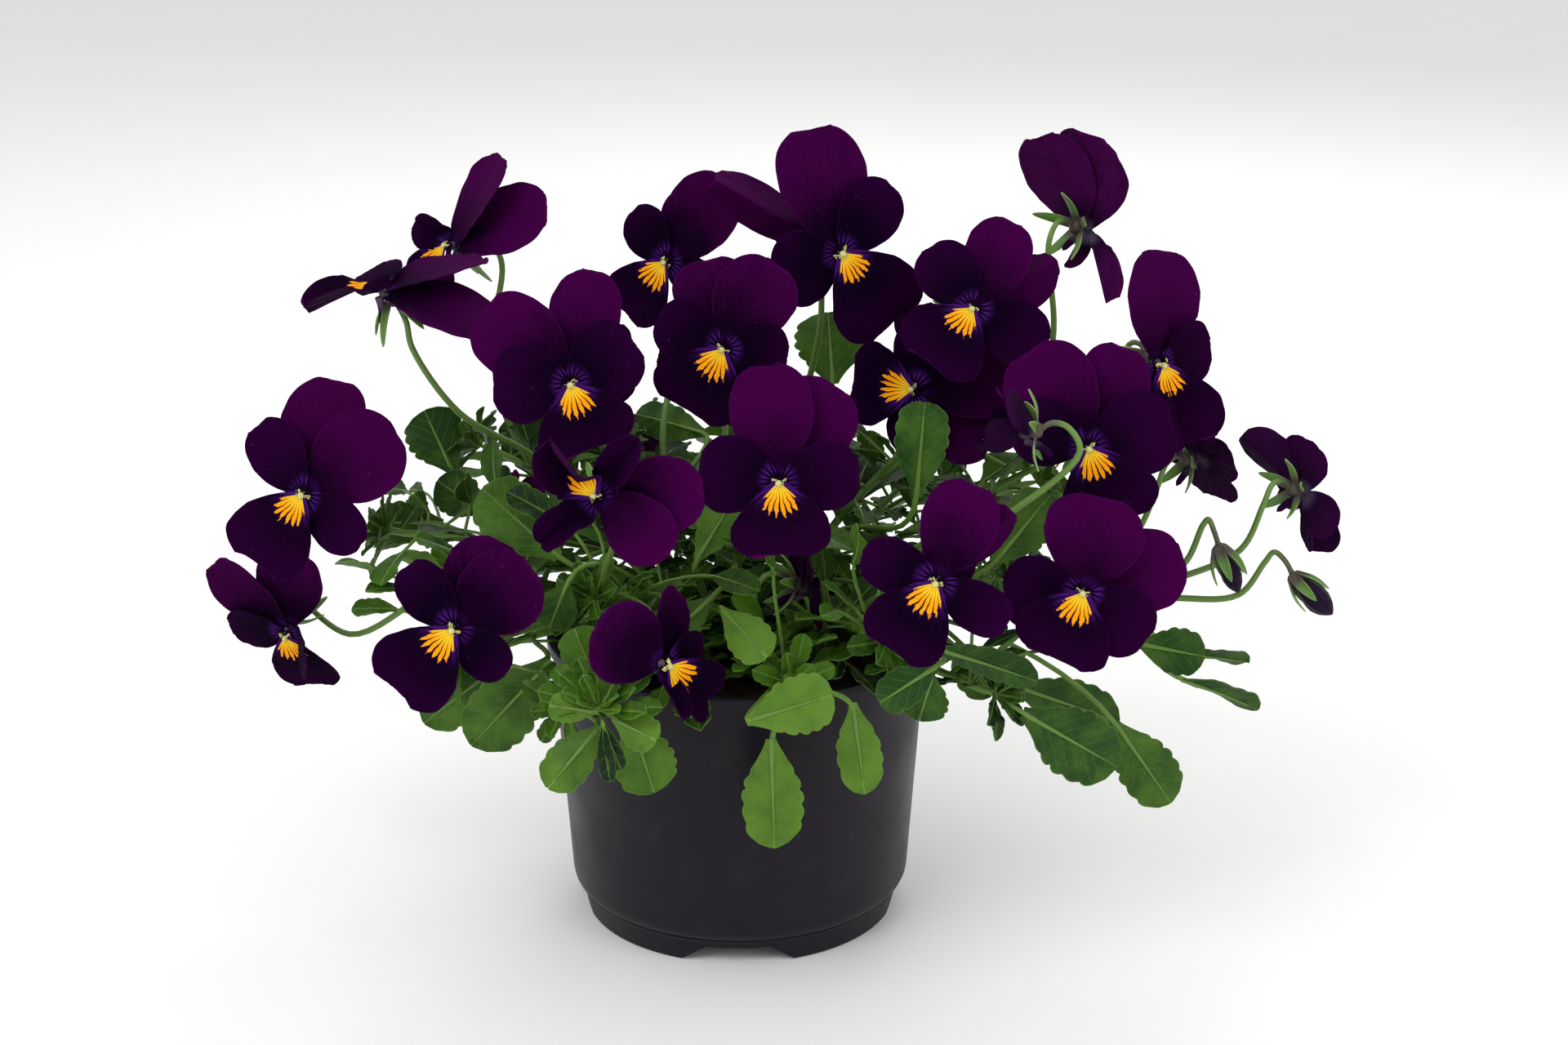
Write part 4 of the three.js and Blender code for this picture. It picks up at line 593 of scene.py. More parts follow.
def stalk_curve(start, way, end, arrive, bend):
    length = distance(start, end)
    chord = unit(end - start)
    level = unit(vec(1, 0, 0) - chord * chord[0])
    aside = turned(level, np.cross(chord, level), bend[1]) * (bend[0] * length)
    lead = length * STALK_LEAD
    return [start, start + way * lead + aside, end - arrive * lead + aside, end]


def blend(one, other, share):
    return unit(one + (other - one) * share)


def lay_stalk(bloom):
    """Finds a clear way for a flower's stalk. Near the hook it may touch its own bloom's balls."""
    shoot = shoot_named[bloom["shoot"]]
    end = hook_of(bloom)[-1]
    arrive = unit(UP * STALK_ARRIVE["up"] - bloom["face"]["out"] * STALK_ARRIVE["back"])
    near_hook = STALK_BALL * 2 + 1
    for shift in STALK_SHIFTS:
        start_share = min(max(bloom["start"] + shift, STALK_STARTS[0]), STALK_STARTS[1])
        start = bezier_point(shoot["curve"], start_share)
        way = blend(bezier_way(shoot["curve"], start_share), unit(end - start), TURN_TO_END["flower"])
        for bend in BENDS:
            curve = stalk_curve(start, way, end, arrive, bend)
            balls = curve_balls(curve, shoot["name"], "stalk")[0]
            free = balls.places[((balls.places - end) ** 2).sum(1) > near_hook * near_hook]
            if clears([Balls(free, STALK_BALL, shoot["name"], "stalk")], ["stem", "stalk"]):
                bloom["stalk"] = curve
                kept.append(balls)
                return True
    return False


def try_leaf(shoot, leaf, start_share, bends):
    """Tries a leaf's blade and then ways for its stalk. Both must be clear."""
    blade = blade_balls(
        lambda along, aside: leaf_points(leaf, along, aside * LEAF_TRY["wider"]),
        leaf["length"], leaf["width"], shoot["name"],
    )
    if not clears(blade, []):
        return False
    start = bezier_point(shoot["curve"], start_share)
    along_shoot = bezier_way(shoot["curve"], start_share)
    leave = blend(along_shoot, unit(leaf["base"] - start), TURN_TO_END["leaf"])
    end = rib_point(leaf, LEAF_TRY["joint"])
    for bend in bends:
        curve = stalk_curve(start, leave, end, leaf["ahead"], bend)
        balls = curve_balls(curve, shoot["name"], "stalk", 0, LEAF_TRY["stalk_end"])
        if clears(balls, ["stem", "stalk"]):
            leaf["stalk"] = curve
            kept.extend(blade + balls)
            shoot["leaves"].append(leaf)
            return True
    return False


def lay_seen_leaf(spec, seed):
    shoot = shoot_named[spec["shoot"]]
    for step in LEAF_DEPTH_STEPS:
        base = seen_at(spec["base"], spec["depths"][0] + step)
        tip = seen_at(spec["tip"], spec["depths"][1] + step)
        ahead = unit(tip - base)
        flat = unit(np.cross(ahead, unit(base - VIEW["eye"])))
        side = turned(flat, -np.cross(flat, ahead), spec.get("turn", 0))
        leaf = dict(
            seed=seed, base=base, ahead=ahead, side=side, face=np.cross(side, ahead),
            length=distance(base, tip), width=spec["width"], arch=0.1, fold=0.16, wave=0.12,
            teeth=5 if spec["width"] > 12.5 else 4,
        )
        if try_leaf(shoot, leaf, spec["start"], LEAF_BENDS):
            return


def leaf_way(turn, rise):
    """The directions of a leaf that leaves a shoot at a turn about the upright and a rise."""
    level = turned(vec(1, 0, 0), vec(0, 1, 0), turn)
    ahead = turned(level, UP, rise)
    face = turned(UP, level, -rise)
    return dict(ahead=ahead, face=face, side=np.cross(ahead, face))


def lay_filler(shoot, order, index):
    seed = SEEDS["fillers"] + order * 10 + index
    start_share = FILLERS["places"][index]
    length = between(FILLERS["length"], draw(seed, 1))
    width = length * between(FILLERS["width"], draw(seed, 2))
    reach = between(FILLERS["stalk"], draw(seed, 3))
    rise = between(FILLERS["rise"], draw(seed, 4))
    first = order * 61 + index * FILLERS["golden_turn"]
    start = bezier_point(shoot["curve"], start_share)
    for extra_rise in FILLERS["rises"]:
        for extra_turn in FILLERS["turns"]:
            way = leaf_way(first + extra_turn, rise + extra_rise)
            leaf = dict(
                seed=seed, base=start + way["ahead"] * reach, length=length, width=width, arch=0.22,
                fold=0.16, wave=0.12, teeth=4, **way,
            )
            if try_leaf(shoot, leaf, start_share, [(0, 0)]):
                return


def lay_out():
    for shoot in SHOOTS:
        lay_shoot(shoot)
    for bloom in BLOOMS + BUDS:
        bloom["closed"] = "radius" in bloom
    flowers = [bloom for seed, bloom in enumerate(BLOOMS + BUDS, 1) if lay_bloom(bloom, seed)]
    held = [bloom for bloom in flowers if lay_stalk(bloom)]
    for seed, spec in enumerate(SEEN_LEAVES):
        lay_seen_leaf(spec, seed)
    for order, shoot in enumerate(SHOOTS):
        is_far = shoot["tip"][1] > FILLERS["far_from"]
        most = FILLERS["far_leaves" if is_far else "leaves"]
        for index in range(len(FILLERS["places"])):
            if len(shoot["leaves"]) < most:
                lay_filler(shoot, order, index)
    return held


# Small leaves, lobed stipules and tufts that only this scene has. They fill the plant between the
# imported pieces. Reaches are how near to a petal, or to other green, a new piece may come.
CELL = 1.2
PETAL_REACH = 2.0
GREEN_REACH = 1.3
NODE_LEAVES = dict(
    first=0.14, last=0.97, count=10, low_count=17, low_under=90, length=(9, 16), width=(0.4, 0.54),
    petiole=(3, 10), rise=(5, 50),
)
STIPULES = dict(length=(7, 12), width=0.5, rise=(10, 45), spread=62, reach=0.8, tries=5)
TUFT = dict(leaves=11, length=(6, 12), width=0.5, spread=(22, 84), reach=1.0)
ROSETTE = dict(shoot="shoot_16", start=0.9, at=(735, 872), depth=-82, turn=-6, lift=56, leaves=26, reach=3.0)
DROOPING = dict(at=(738, 884), depth=-86, tips=[(744, 962), (760, 946)], tip_depth=-88, width=4.2)
BUSH = dict(
    targets=2600, low=(-92, -66, 76), high=(92, 72, 122), nearest=6, furthest=34, length=(9, 18),
    width=(0.42, 0.58), climb=40, lean=0.45, droop=0.2, tilt=0.9, sway=70,
)
# Other turns and rises that a small leaf tries until it is clear.
TRIES = [(0, 0), (35, 8), (-35, 8), (70, 0), (-70, 0), (20, 25), (-20, 25), (110, 12), (-110, 12)]


class Room:
    """A block of small cells about the plant, which holds the cells that are taken."""

    def __init__(self):
        self.low = np.array(CAD_BOX[0]) / MM + 1
        self.high = np.array(CAD_BOX[1]) / MM - 1
        self.size = np.ceil((self.high - self.low) / CELL).astype(int) + 1
        self.taken = np.zeros(self.size, dtype=bool)

    def cells(self, places):
        return np.clip(((places - self.low) / CELL).astype(int), 0, self.size - 1)

    def take(self, places, reach):
        steps = np.arange(-int(reach / CELL) - 1, int(reach / CELL) + 2)
        around = np.stack(np.meshgrid(steps, steps, steps, indexing="ij"), 3).reshape(-1, 3)
        around = around[(around ** 2).sum(1) * CELL ** 2 <= reach ** 2]
        cells = (self.cells(places)[:, None, :] + around[None, :, :]).reshape(-1, 3)
        self.taken[tuple(np.clip(cells, 0, self.size - 1).T)] = True

    def is_free(self, places):
        if (places < self.low).any() or (places > self.high).any():
            return False
        return not self.taken[tuple(self.cells(places).T)].any()


def blade_places(leaf):
    along, aside = np.meshgrid(np.linspace(0.08, 1, 8), np.linspace(-1, 1, 5), indexing="ij")
    return leaf_points(leaf, along, aside).reshape(-1, 3)


NEAR_STEM = 2.4  # what lies this near to the start of a small leaf's stalk may touch the stem
NEAR_TIP = 3.0


def try_small_leaf(room, shoot, leaf, start, clear_of_stem=NEAR_STEM):
    """Keeps a small leaf, with its stalk from a place on the shoot, where nothing else is."""
    end = rib_point(leaf, 0.1)
    gap = distance(start, end)
    stalk = [start, start + (end - start) * 0.35 + UP * (gap * 0.08), end - leaf["ahead"] * (gap * 0.3), end]
    places = np.concatenate([blade_places(leaf), bezier_path(stalk, 0, 0.95, 9)])
    far = places[((places - start) ** 2).sum(1) > clear_of_stem ** 2]
    if not len(far) or not room.is_free(far) or not clears_pot(Balls(far, GREEN_REACH, "", "")):
        return False
    leaf["stalk"] = stalk
    shoot["small_leaves"].append(leaf)
    return True


def settle(room, leaves):
    """Takes the room of new leaves, once all that grow from one place have been tried."""
    for leaf in leaves:
        room.take(np.concatenate([blade_places(leaf), bezier_path(leaf["stalk"], 0.2, 1, 8)]), GREEN_REACH)


def small_leaf(seed, start, way, reach, length, width, kind):
    return dict(
        seed=seed, base=start + way["ahead"] * reach, length=length, width=width, arch=0.16, kind=kind,
        fold=0.2, wave=0.1, teeth=3 if kind == "stipule" else 4, **way,
    )


def grow_node(room, shoot, seed, share, turn):
    """One leaf and two stipules from the same place on a shoot."""
    start = bezier_point(shoot["curve"], share)
    before = len(shoot["small_leaves"])
    length = between(NODE_LEAVES["length"], draw(seed, 1))
    width = length * between(NODE_LEAVES["width"], draw(seed, 2))
    reach = between(NODE_LEAVES["petiole"], draw(seed, 3))
    rise = between(NODE_LEAVES["rise"], draw(seed, 4))
    for extra_turn, extra_rise in TRIES:
        way = leaf_way(turn + extra_turn, rise + extra_rise)
        leaf = small_leaf(seed, start, way, reach, length, width, "leaf")
        if try_small_leaf(room, shoot, leaf, start):
            break
    for side in (-1, 1):
        length = between(STIPULES["length"], draw(seed, 7 + side))
        width = length * STIPULES["width"]
        rise = between(STIPULES["rise"], draw(seed, 9 + side))
        for extra_turn, extra_rise in TRIES[:STIPULES["tries"]]:
            way = leaf_way(turn + side * STIPULES["spread"] + extra_turn / 2, rise + extra_rise)
            leaf = small_leaf(seed + side, start, way, STIPULES["reach"], length, width, "stipule")
            if try_small_leaf(room, shoot, leaf, start):
                break
    settle(room, shoot["small_leaves"][before:])


def tuft_way(onward, index, count, seed):
    """The way that one leaf of a tuft points. The later ones are spread further out."""
    level = unit(np.cross(onward, vec(0, 1, 0.3)))
    aside = np.cross(onward, level)
    spread = between(TUFT["spread"], (index + 0.5) / count)
    out = turned(level, aside, index * FILLERS["golden_turn"] + 360 * draw(seed, 3))
    ahead = turned(onward, out, spread)
    face = turned(onward, out, spread - 90)
    return dict(ahead=ahead, face=face, side=np.cross(ahead, face))


def grow_tuft(room, tuft_room, shoot, seed, start, onward, count, reach):
    """The rosette of young leaves about a place. The inner ones are the shorter ones."""
    before = len(shoot["small_leaves"])
    for index in range(count):
        share = (index + 0.5) / count
        length = between(TUFT["length"], 0.7 * share + 0.3 * draw(seed + index, 1))
        way = tuft_way(onward, index, count, seed)
        width = length * TUFT["width"]
        leaf = small_leaf(seed + index, start, way, reach * (1 + share), length, width, "leaf")
        try_small_leaf(tuft_room, shoot, leaf, start, NEAR_TIP)
    settle(room, shoot["small_leaves"][before:])


def grow_tip_tuft(room, petal_room, shoot, seed):
    tip = bezier_point(shoot["curve"], 1.0)
    onward = unit(bezier_way(shoot["curve"], 0.98) + UP * 0.3)
    grow_tuft(room, petal_room, shoot, seed, tip, onward, TUFT["leaves"], TUFT["reach"])


def grow_rosette(room, petal_room):
    """The side shoot over the pot's rim at the left of the front."""
    shoot = shoot_named[ROSETTE["shoot"]]
    centre = seen_at(ROSETTE["at"], ROSETTE["depth"])
    root = bezier_point(shoot["curve"], ROSETTE["start"])
    onward = face_of(ROSETTE["turn"], ROSETTE["lift"])["out"]
    shoot["twigs"].append([root, root + (centre - root) * 0.4 + UP * 3, centre - onward * 4, centre])
    grow_tuft(room, petal_room, shoot, SEEDS["rosette"], centre, onward, ROSETTE["leaves"], ROSETTE["reach"])
    grow_drooping(shoot, centre)


def grow_drooping(shoot, centre):
    """The narrow dark scales that hang from the rosette."""
    base = seen_at(DROOPING["at"], DROOPING["depth"])
    for index, tip in enumerate(DROOPING["tips"]):
        end = seen_at(tip, DROOPING["tip_depth"])
        ahead = unit(end - base)
        side = unit(np.cross(ahead, vec(0.2 * (index - 1), -1, 0.2)))
        way = dict(ahead=ahead, side=side, face=np.cross(side, ahead))
        seed = SEEDS["drooping"] + index
        leaf = small_leaf(seed, base, way, 0, distance(end, base), DROOPING["width"], "leaf")
        leaf.update(stalk=[centre, centre, base, base], darker=1.0)
        shoot["small_leaves"].append(leaf)


def grow_bush(room):
    """Leaves on long stalks that fill the plant and cover the compost, each from the nearest shoot."""
    samples = [(shoot, share) for shoot in SHOOTS for share in np.linspace(0.1, 0.9, 17)]
    places = np.array([bezier_point(shoot["curve"], share) for shoot, share in samples])
    for index in range(BUSH["targets"]):
        seed = SEEDS["bush"] + index
        target = vec(*(between((low, high), draw(seed, axis))
                       for axis, (low, high) in enumerate(zip(BUSH["low"], BUSH["high"]))))
        gaps = np.sqrt(((places - target) ** 2).sum(1)) + BUSH["climb"] * (places[:, 2] > target[2] - 2)
        nearest = int(gaps.argmin())
        if not BUSH["nearest"] < gaps[nearest] < BUSH["furthest"]:
            continue
        shoot, start = samples[nearest][0], places[nearest]
        outward = unit(target - start)
        level = unit(vec(target[0], target[1], 0) + vec(0.01, 0, 0))
        sight = turned(level, vec(-level[1], level[0], 0), BUSH["sway"] * (draw(seed, 5) - 0.5))
        ahead = unit(outward + sight * BUSH["lean"] - UP * BUSH["droop"])
        side = unit(np.cross(ahead, UP + sight * BUSH["tilt"]))
        length = between(BUSH["length"], draw(seed, 7))
        width = length * between(BUSH["width"], draw(seed, 8))
        way = dict(ahead=ahead, side=side, face=np.cross(side, ahead))
        leaf = small_leaf(seed, target, way, 0, length, width, "leaf")
        if try_small_leaf(room, shoot, leaf, start):
            settle(room, [leaf])


def grow_foliage():
    """All the small green that only this scene has, kept clear of what was laid out."""
    room, petal_room = Room(), Room()
    for balls in kept:
        if balls.kind == "petal":
            petal_room.take(balls.places, PETAL_REACH)
        room.take(balls.places, PETAL_REACH if balls.kind == "petal" else GREEN_REACH)
    for shoot in SHOOTS:
        shoot.update(small_leaves=[], twigs=[])
    grow_rosette(room, petal_room)
    for order, shoot in enumerate(SHOOTS):
        grow_tip_tuft(room, petal_room, shoot, SEEDS["tufts"] + order * 20)
        is_high = shoot["tip"][2] > NODE_LEAVES["low_under"]
        count = NODE_LEAVES["count" if is_high else "low_count"]
        for index in range(count):
            share = between((NODE_LEAVES["first"], NODE_LEAVES["last"]), index / (count - 1))
            turn = order * 47 + index * FILLERS["golden_turn"]
            grow_node(room, shoot, SEEDS["nodes"] + order * 40 + index, share, turn)
    grow_bush(room)


def shade(red, green, blue):
    """A colour from its 0 to 255 values on a screen."""
    shares = [value / 255 for value in (red, green, blue)]
    return tuple(
        share / 12.92 if share <= 0.04045 else ((share + 0.055) / 1.055) ** 2.4 for share in shares
    ) + (1.0,)


class Value:
    """What a node gives: a number or a colour that varies over a surface. Sums of numbers make nodes."""

    def __init__(self, net, socket):
        self.net = net
        self.socket = socket

    def __add__(self, other):
        return self.net.math("ADD", self, other)

    def __sub__(self, other):
        return self.net.math("SUBTRACT", self, other)

    def __rsub__(self, other):
        return self.net.math("SUBTRACT", other, self)

    def __mul__(self, other):
        return self.net.math("MULTIPLY", self, other)

    def __truediv__(self, other):
        return self.net.math("DIVIDE", self, other)

    def __abs__(self):
        return self.net.math("ABSOLUTE", self)


class Net:
    """A material whose nodes are made by short calls. Each call gives the value of its result."""

    def __init__(self, name, roughness=0.5, specular=0.5, sheen=0.0):
        self.material = bpy.data.materials.new(name)
        self.material.use_nodes = True
        self.tree = self.material.node_tree
        self.shader = self.tree.nodes["Principled BSDF"]
        self.shader.inputs["Roughness"].default_value = roughness
        self.shader.inputs["Specular IOR Level"].default_value = specular
        self.shader.inputs["Sheen Weight"].default_value = sheen

    def node(self, kind, inputs, output=0, **settings):
        made = self.tree.nodes.new(kind)
        for key, value in settings.items():
            setattr(made, key, value)
        for key, value in inputs.items():
            self.feed(made.inputs[key], value)
        return Value(self, made.outputs[output])

    def feed(self, socket, value):
        if isinstance(value, Value):
            self.tree.links.new(value.socket, socket)
        else:
            socket.default_value = value

    def math(self, operation, first, second=0.0):
        return self.node("ShaderNodeMath", {0: first, 1: second}, operation=operation)

    def sine(self, value):
        return self.math("SINE", value)

    def ramp(self, value, start, end, low=0.0, high=1.0):
        """A smooth rise from low to high as the value goes from start to end."""
        if start > end:
            start, end, low, high = end, start, high, low
        inputs = {"Value": value, "From Min": start, "From Max": end, "To Min": low, "To Max": high}
        return self.node("ShaderNodeMapRange", inputs, interpolation_type="SMOOTHSTEP")

    def mix(self, share, low, high):
        return self.node("ShaderNodeMix", {"Factor": share, 6: low, 7: high}, output=2, data_type="RGBA")

    def noise(self, size, detail=2.0, roughness=0.5):
        """Noise with lumps of a size in millimetres, between 0 and 1."""
        place = self.node("ShaderNodeTexCoord", {}, output="Object")
        inputs = {"Vector": place, "Scale": 1 / (size * MM), "Detail": detail, "Roughness": roughness}
        return self.node("ShaderNodeTexNoise", inputs)

    def shape(self):
        """The values that a piece's points carry: across, ahead and share."""
        vector = self.node("ShaderNodeAttribute", {}, output="Vector", attribute_name="shape")
        split = self.tree.nodes.new("ShaderNodeSeparateXYZ")
        self.feed(split.inputs[0], vector)
        return [Value(self, output) for output in split.outputs]

    def tone(self):
        return self.node("ShaderNodeAttribute", {}, output="Fac", attribute_name="tone")

    def finish(self, colour, height, strength, reach):
        """The finished material, with its colour and a relief that reaches so many millimetres."""
        self.feed(self.shader.inputs["Base Color"], colour)
        relief = {"Height": height, "Strength": strength, "Distance": reach * MM}
        self.feed(self.shader.inputs["Normal"], self.node("ShaderNodeBump", relief))
        return self.material


def grid_faces(rows, columns, flipped=False):
    index = np.arange(rows * columns).reshape(rows, columns)
    corners = [index[:-1, :-1], index[:-1, 1:], index[1:, 1:], index[1:, :-1]]
    faces = np.stack([corner.ravel() for corner in corners], 1)
    return faces[:, ::-1] if flipped else faces


def ring_faces(rings, sides, flipped=False):
    """The faces between rings of points, and one at each end."""
    index = np.arange(rings * sides).reshape(rings, sides)
    after = np.roll(index, -1, axis=1)
    corners = [index[:-1], after[:-1], after[1:], index[1:]]
    faces = list(np.stack([corner.ravel() for corner in corners], 1)) + [index[0][::-1], index[-1]]
    return [np.roll(face[::-1], 1) for face in faces] if flipped else faces


def ring_points(radius, turns, height):
    """The points of a ring about the pot's axis. Its height is a number or a rule of the place."""
    places = [(radius * math.cos(turn), radius * math.sin(turn)) for turn in turns]
    return [(*place, height(*place) if callable(height) else height) for place in places]


def grid_normals(points):
    normals = np.cross(np.gradient(points, axis=1), np.gradient(points, axis=0))
    return normals / np.maximum(np.linalg.norm(normals, axis=2, keepdims=True), 1e-9)


def frames_along(points):
    """Two directions across a path at each of its points, carried along it without a twist."""
    ways = np.gradient(points, axis=0)
    ways = ways / np.linalg.norm(ways, axis=1, keepdims=True)
    seed = vec(1, 0, 0) if abs(ways[0][0]) < 0.8 else vec(0, 1, 0)
    across = []
    for way in ways:
        seed = unit(seed - way * float(seed @ way))
        across.append(seed)
    across = np.array(across)
    return across, np.cross(ways, across)


PLANT_SHARP = 50  # edges that bend by more degrees than this are shaded as sharp


class Skin:
    """Gathers the faces of one piece, with the values that its materials read at each point."""

    def __init__(self):
        self.points = []
        self.shapes = []
        self.tones = []
        self.faces = []
        self.slots = []
        self.count = 0

    def add(self, points, faces, slot, shapes, tone):
        points = np.asarray(points).reshape(-1, 3)
        self.points.append(points)
        self.shapes.append(np.asarray(shapes).reshape(-1, 3))
        self.tones.append(np.broadcast_to(tone, len(points)))
        for face in faces:
            self.faces.append([int(corner) + self.count for corner in face])
        self.slots += list(np.broadcast_to(slot, len(faces)))
        self.count += len(points)

    def sheet(self, middle, thickness, slots, shapes, tone):
        """A closed blade about a grid of points: its front, its back and the rim between them."""
        rows, columns = middle.shape[:2]
        offset = grid_normals(middle) * (thickness / 2)
        size = rows * columns
        index = np.arange(size).reshape(rows, columns)
        border = np.concatenate([index[0], index[1:, -1], index[-1, -2::-1], index[-2:0:-1, 0]])
        after = np.roll(border, -1)
        front = grid_faces(rows, columns)
        back = grid_faces(rows, columns, flipped=True) + size
        rim = np.stack([border, border + size, after + size, after], 1)
        faces = np.concatenate([front, back, rim])
        slot = [slots[0]] * len(front) + [slots[1]] * len(back) + [slots[0]] * len(rim)
        points = np.stack([middle + offset, middle - offset])
        self.add(points, faces, slot, np.stack([shapes, shapes]), tone)

    def tube(self, points, radii, slot, tone, sides=10, ridge=None):
        """A tube about a path. Ridge gives how far its wall stands out, from share and angle."""
        points = np.array(points, float)
        radii = np.broadcast_to(np.array(radii, float), len(points))
        across, other = frames_along(points)
        turns = np.arange(sides) / sides * 2 * math.pi
        shares = np.linspace(0, 1, len(points))
        reach = radii[:, None] * (ridge(shares[:, None], turns[None, :]) if ridge else 1)
        cos, sin = np.cos(turns)[None, :, None], np.sin(turns)[None, :, None]
        level = across[:, None, :] * cos + other[:, None, :] * sin
        wall = points[:, None, :] + level * np.broadcast_to(reach, (len(points), sides))[..., None]
        lengths = np.concatenate([[0], np.cumsum(np.linalg.norm(np.diff(points, axis=0), axis=1))])
        shapes = np.zeros((len(points), sides, 3))
        shapes[..., 0] = turns[None, :]
        shapes[..., 1] = lengths[:, None]
        shapes[..., 2] = shares[:, None]
        self.add(wall, ring_faces(len(points), sides), slot, shapes, tone)

    def turned_form(self, centre, axis, profile, slot, tone, sides):
        """A form turned about an axis, from a profile of radius and height."""
        path = [centre + axis * height for radius, height in profile]
        self.tube(path, [radius for radius, height in profile], slot, tone, sides)

    def build(self, name, materials, body, node):
        """Makes the piece's object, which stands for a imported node."""
        mesh = bpy.data.meshes.new(name)
        mesh.from_pydata((np.concatenate(self.points) * MM).tolist(), [], self.faces)
        for material in materials:
            mesh.materials.append(material)
        mesh.polygons.foreach_set("material_index", np.array(self.slots, dtype=np.int32))
        mesh.polygons.foreach_set("use_smooth", np.ones(len(self.faces), dtype=bool))
        mesh.attributes.new("shape", "FLOAT_VECTOR", "POINT").data.foreach_set(
            "vector", np.concatenate(self.shapes).astype(np.float32).ravel())
        mesh.attributes.new("tone", "FLOAT", "POINT").data.foreach_set(
            "value", np.concatenate(self.tones).astype(np.float32))
        mesh.update()
        mesh.set_sharp_from_angle(angle=PLANT_SHARP * DEGREES)
        piece = bpy.data.objects.new(name, mesh)
        bpy.context.scene.collection.objects.link(piece)
        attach(piece, body)
        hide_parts(node)


def polar(net, across, ahead):
    """The distance from the throat and the angle about it, of a place on a petal."""
    return net.math("SQRT", across * across + ahead * ahead), net.math("ARCTAN2", across, ahead)


# Colours of each kind of petal: near the middle of the bloom, further out, at its rim and in the
# halo about the throat. The halo, the dark whiskers in it and the paler outer part reach so many
# millimetres from the throat. Whiskers is the angle from one to the next, taper their widths.
PETAL_COLOURS = {
    "upper": dict(
        inner=shade(19, 0, 26), outer=shade(57, 0, 58), rim=shade(65, 4, 66), halo=shade(52, 12, 84),
        halo_reach=4.6, whiskers=0.36, tip=3.6, width=0.34, taper=(1.0, 0.35), reach=(3, 25),
    ),
    "side": dict(
        inner=shade(12, 0, 21), outer=shade(34, 0, 41), rim=shade(42, 3, 48), halo=shade(78, 28, 126),
        halo_reach=5.8, whiskers=0.33, tip=6.0, width=0.5, taper=(1.0, 0.35), reach=(4, 21),
    ),
    "lower": dict(
        inner=shade(13, 0, 23), outer=shade(31, 0, 37), rim=shade(39, 2, 44), halo=shade(66, 20, 104),
        halo_reach=9.6, whiskers=0.22, tip=9.8, width=0.5, taper=(0.1, 1.0), reach=(6, 22),
    ),
}
INK = shade(18, 2, 26)
POLLEN = shade(168, 140, 176)
EYE_YELLOW = shade(255, 206, 44)
EYE_ORANGE = shade(250, 158, 14)
EYE_SPREAD = 0.78  # half the angle of the yellow fan on the lower petal, in radians
EYE_REACH = 6.6
EYE_FINGER = 4.4


def whiskers(net, radius, turn, form):
    """Thin dark lines that fan out from the throat, one at each step of the angle, up to a tip.

    Gives where they are, and how far each place lies from the nearest one, from 0 to 0.5."""
    middle = (turn + (net.noise(2.4, 2) - 0.5) * 0.16) / form["whiskers"] + 0.5
    near = abs(net.math("FRACT", middle) - 0.5)
    odd = abs(net.sine(net.math("FLOOR", middle) * 2.4))
    share = radius / (odd * (form["tip"] * 0.22) + form["tip"])
    thin = net.ramp(share, 0.2, 1.0, *form["taper"]) * form["width"]
    inside = net.ramp(near * form["whiskers"] * radius / thin, 1.0, 0.5)
    return inside * net.ramp(share, 1.08, 0.9), near


def yellow_eye(net, colour, radius, turn, near, grain):
    """The yellow fan under the throat: fingers between the dark lines, with ragged tips."""
    side = abs(turn) / EYE_SPREAD
    limit = (near * EYE_FINGER + EYE_REACH) * net.ramp(side, 1.05, 0.55, 0.62, 1.0)
    ragged = radius + (grain - 0.5) * 3.4
    eye = net.ramp(ragged - limit, 0.35, -0.35) * net.ramp(side, 1.06, 0.96)
    return net.mix(eye, colour, net.mix(net.ramp(radius, 1.6, 6.0), EYE_YELLOW, EYE_ORANGE))


def petal_front(kind):
    form = PETAL_COLOURS[kind]
    net = Net("petal_" + kind, roughness=0.75, specular=0.015, sheen=0.02)
    net.shader.inputs["Sheen Roughness"].default_value = 0.5
    net.shader.inputs["Sheen Tint"].default_value = shade(190, 30, 190)
    across, ahead, share = net.shape()
    radius, turn = polar(net, across, ahead)
    lines, near = whiskers(net, radius, turn, form)
    grain = net.noise(1.0, 3)
    clouds = net.noise(8, 2)
    veins = net.sine(turn * 52 + clouds * 8)
    # The bloom's tone makes the petal darker or lighter; on the low blooms its darkness is painted shade.
    outwards = net.ramp(radius, *form["reach"]) + (net.tone() - 0.5) * 0.5
    outwards = outwards + veins * 0.07 + (grain - 0.5) * 0.5 + (clouds - 0.5) * 0.7
    colour = net.mix(outwards, form["inner"], form["outer"])
    colour = net.mix(net.ramp(share, 0.93, 1.0, 0.0, 0.55), colour, form["rim"])
    ragged = radius + (clouds - 0.5) * 4
    halo = net.ramp(ragged, form["halo_reach"], form["halo_reach"] * 0.3, 0.0, 0.9)
    colour = net.mix(halo, colour, form["halo"])
    if kind == "lower":
        colour = yellow_eye(net, colour, radius, turn, near, grain)
    specks = net.ramp(net.noise(0.55, 1), 0.8, 0.86, 0.0, 0.5)
    colour = net.mix(specks, net.mix(lines, colour, INK), POLLEN)
    return net.finish(colour, veins * 0.3 + grain, 0.35, 0.25)


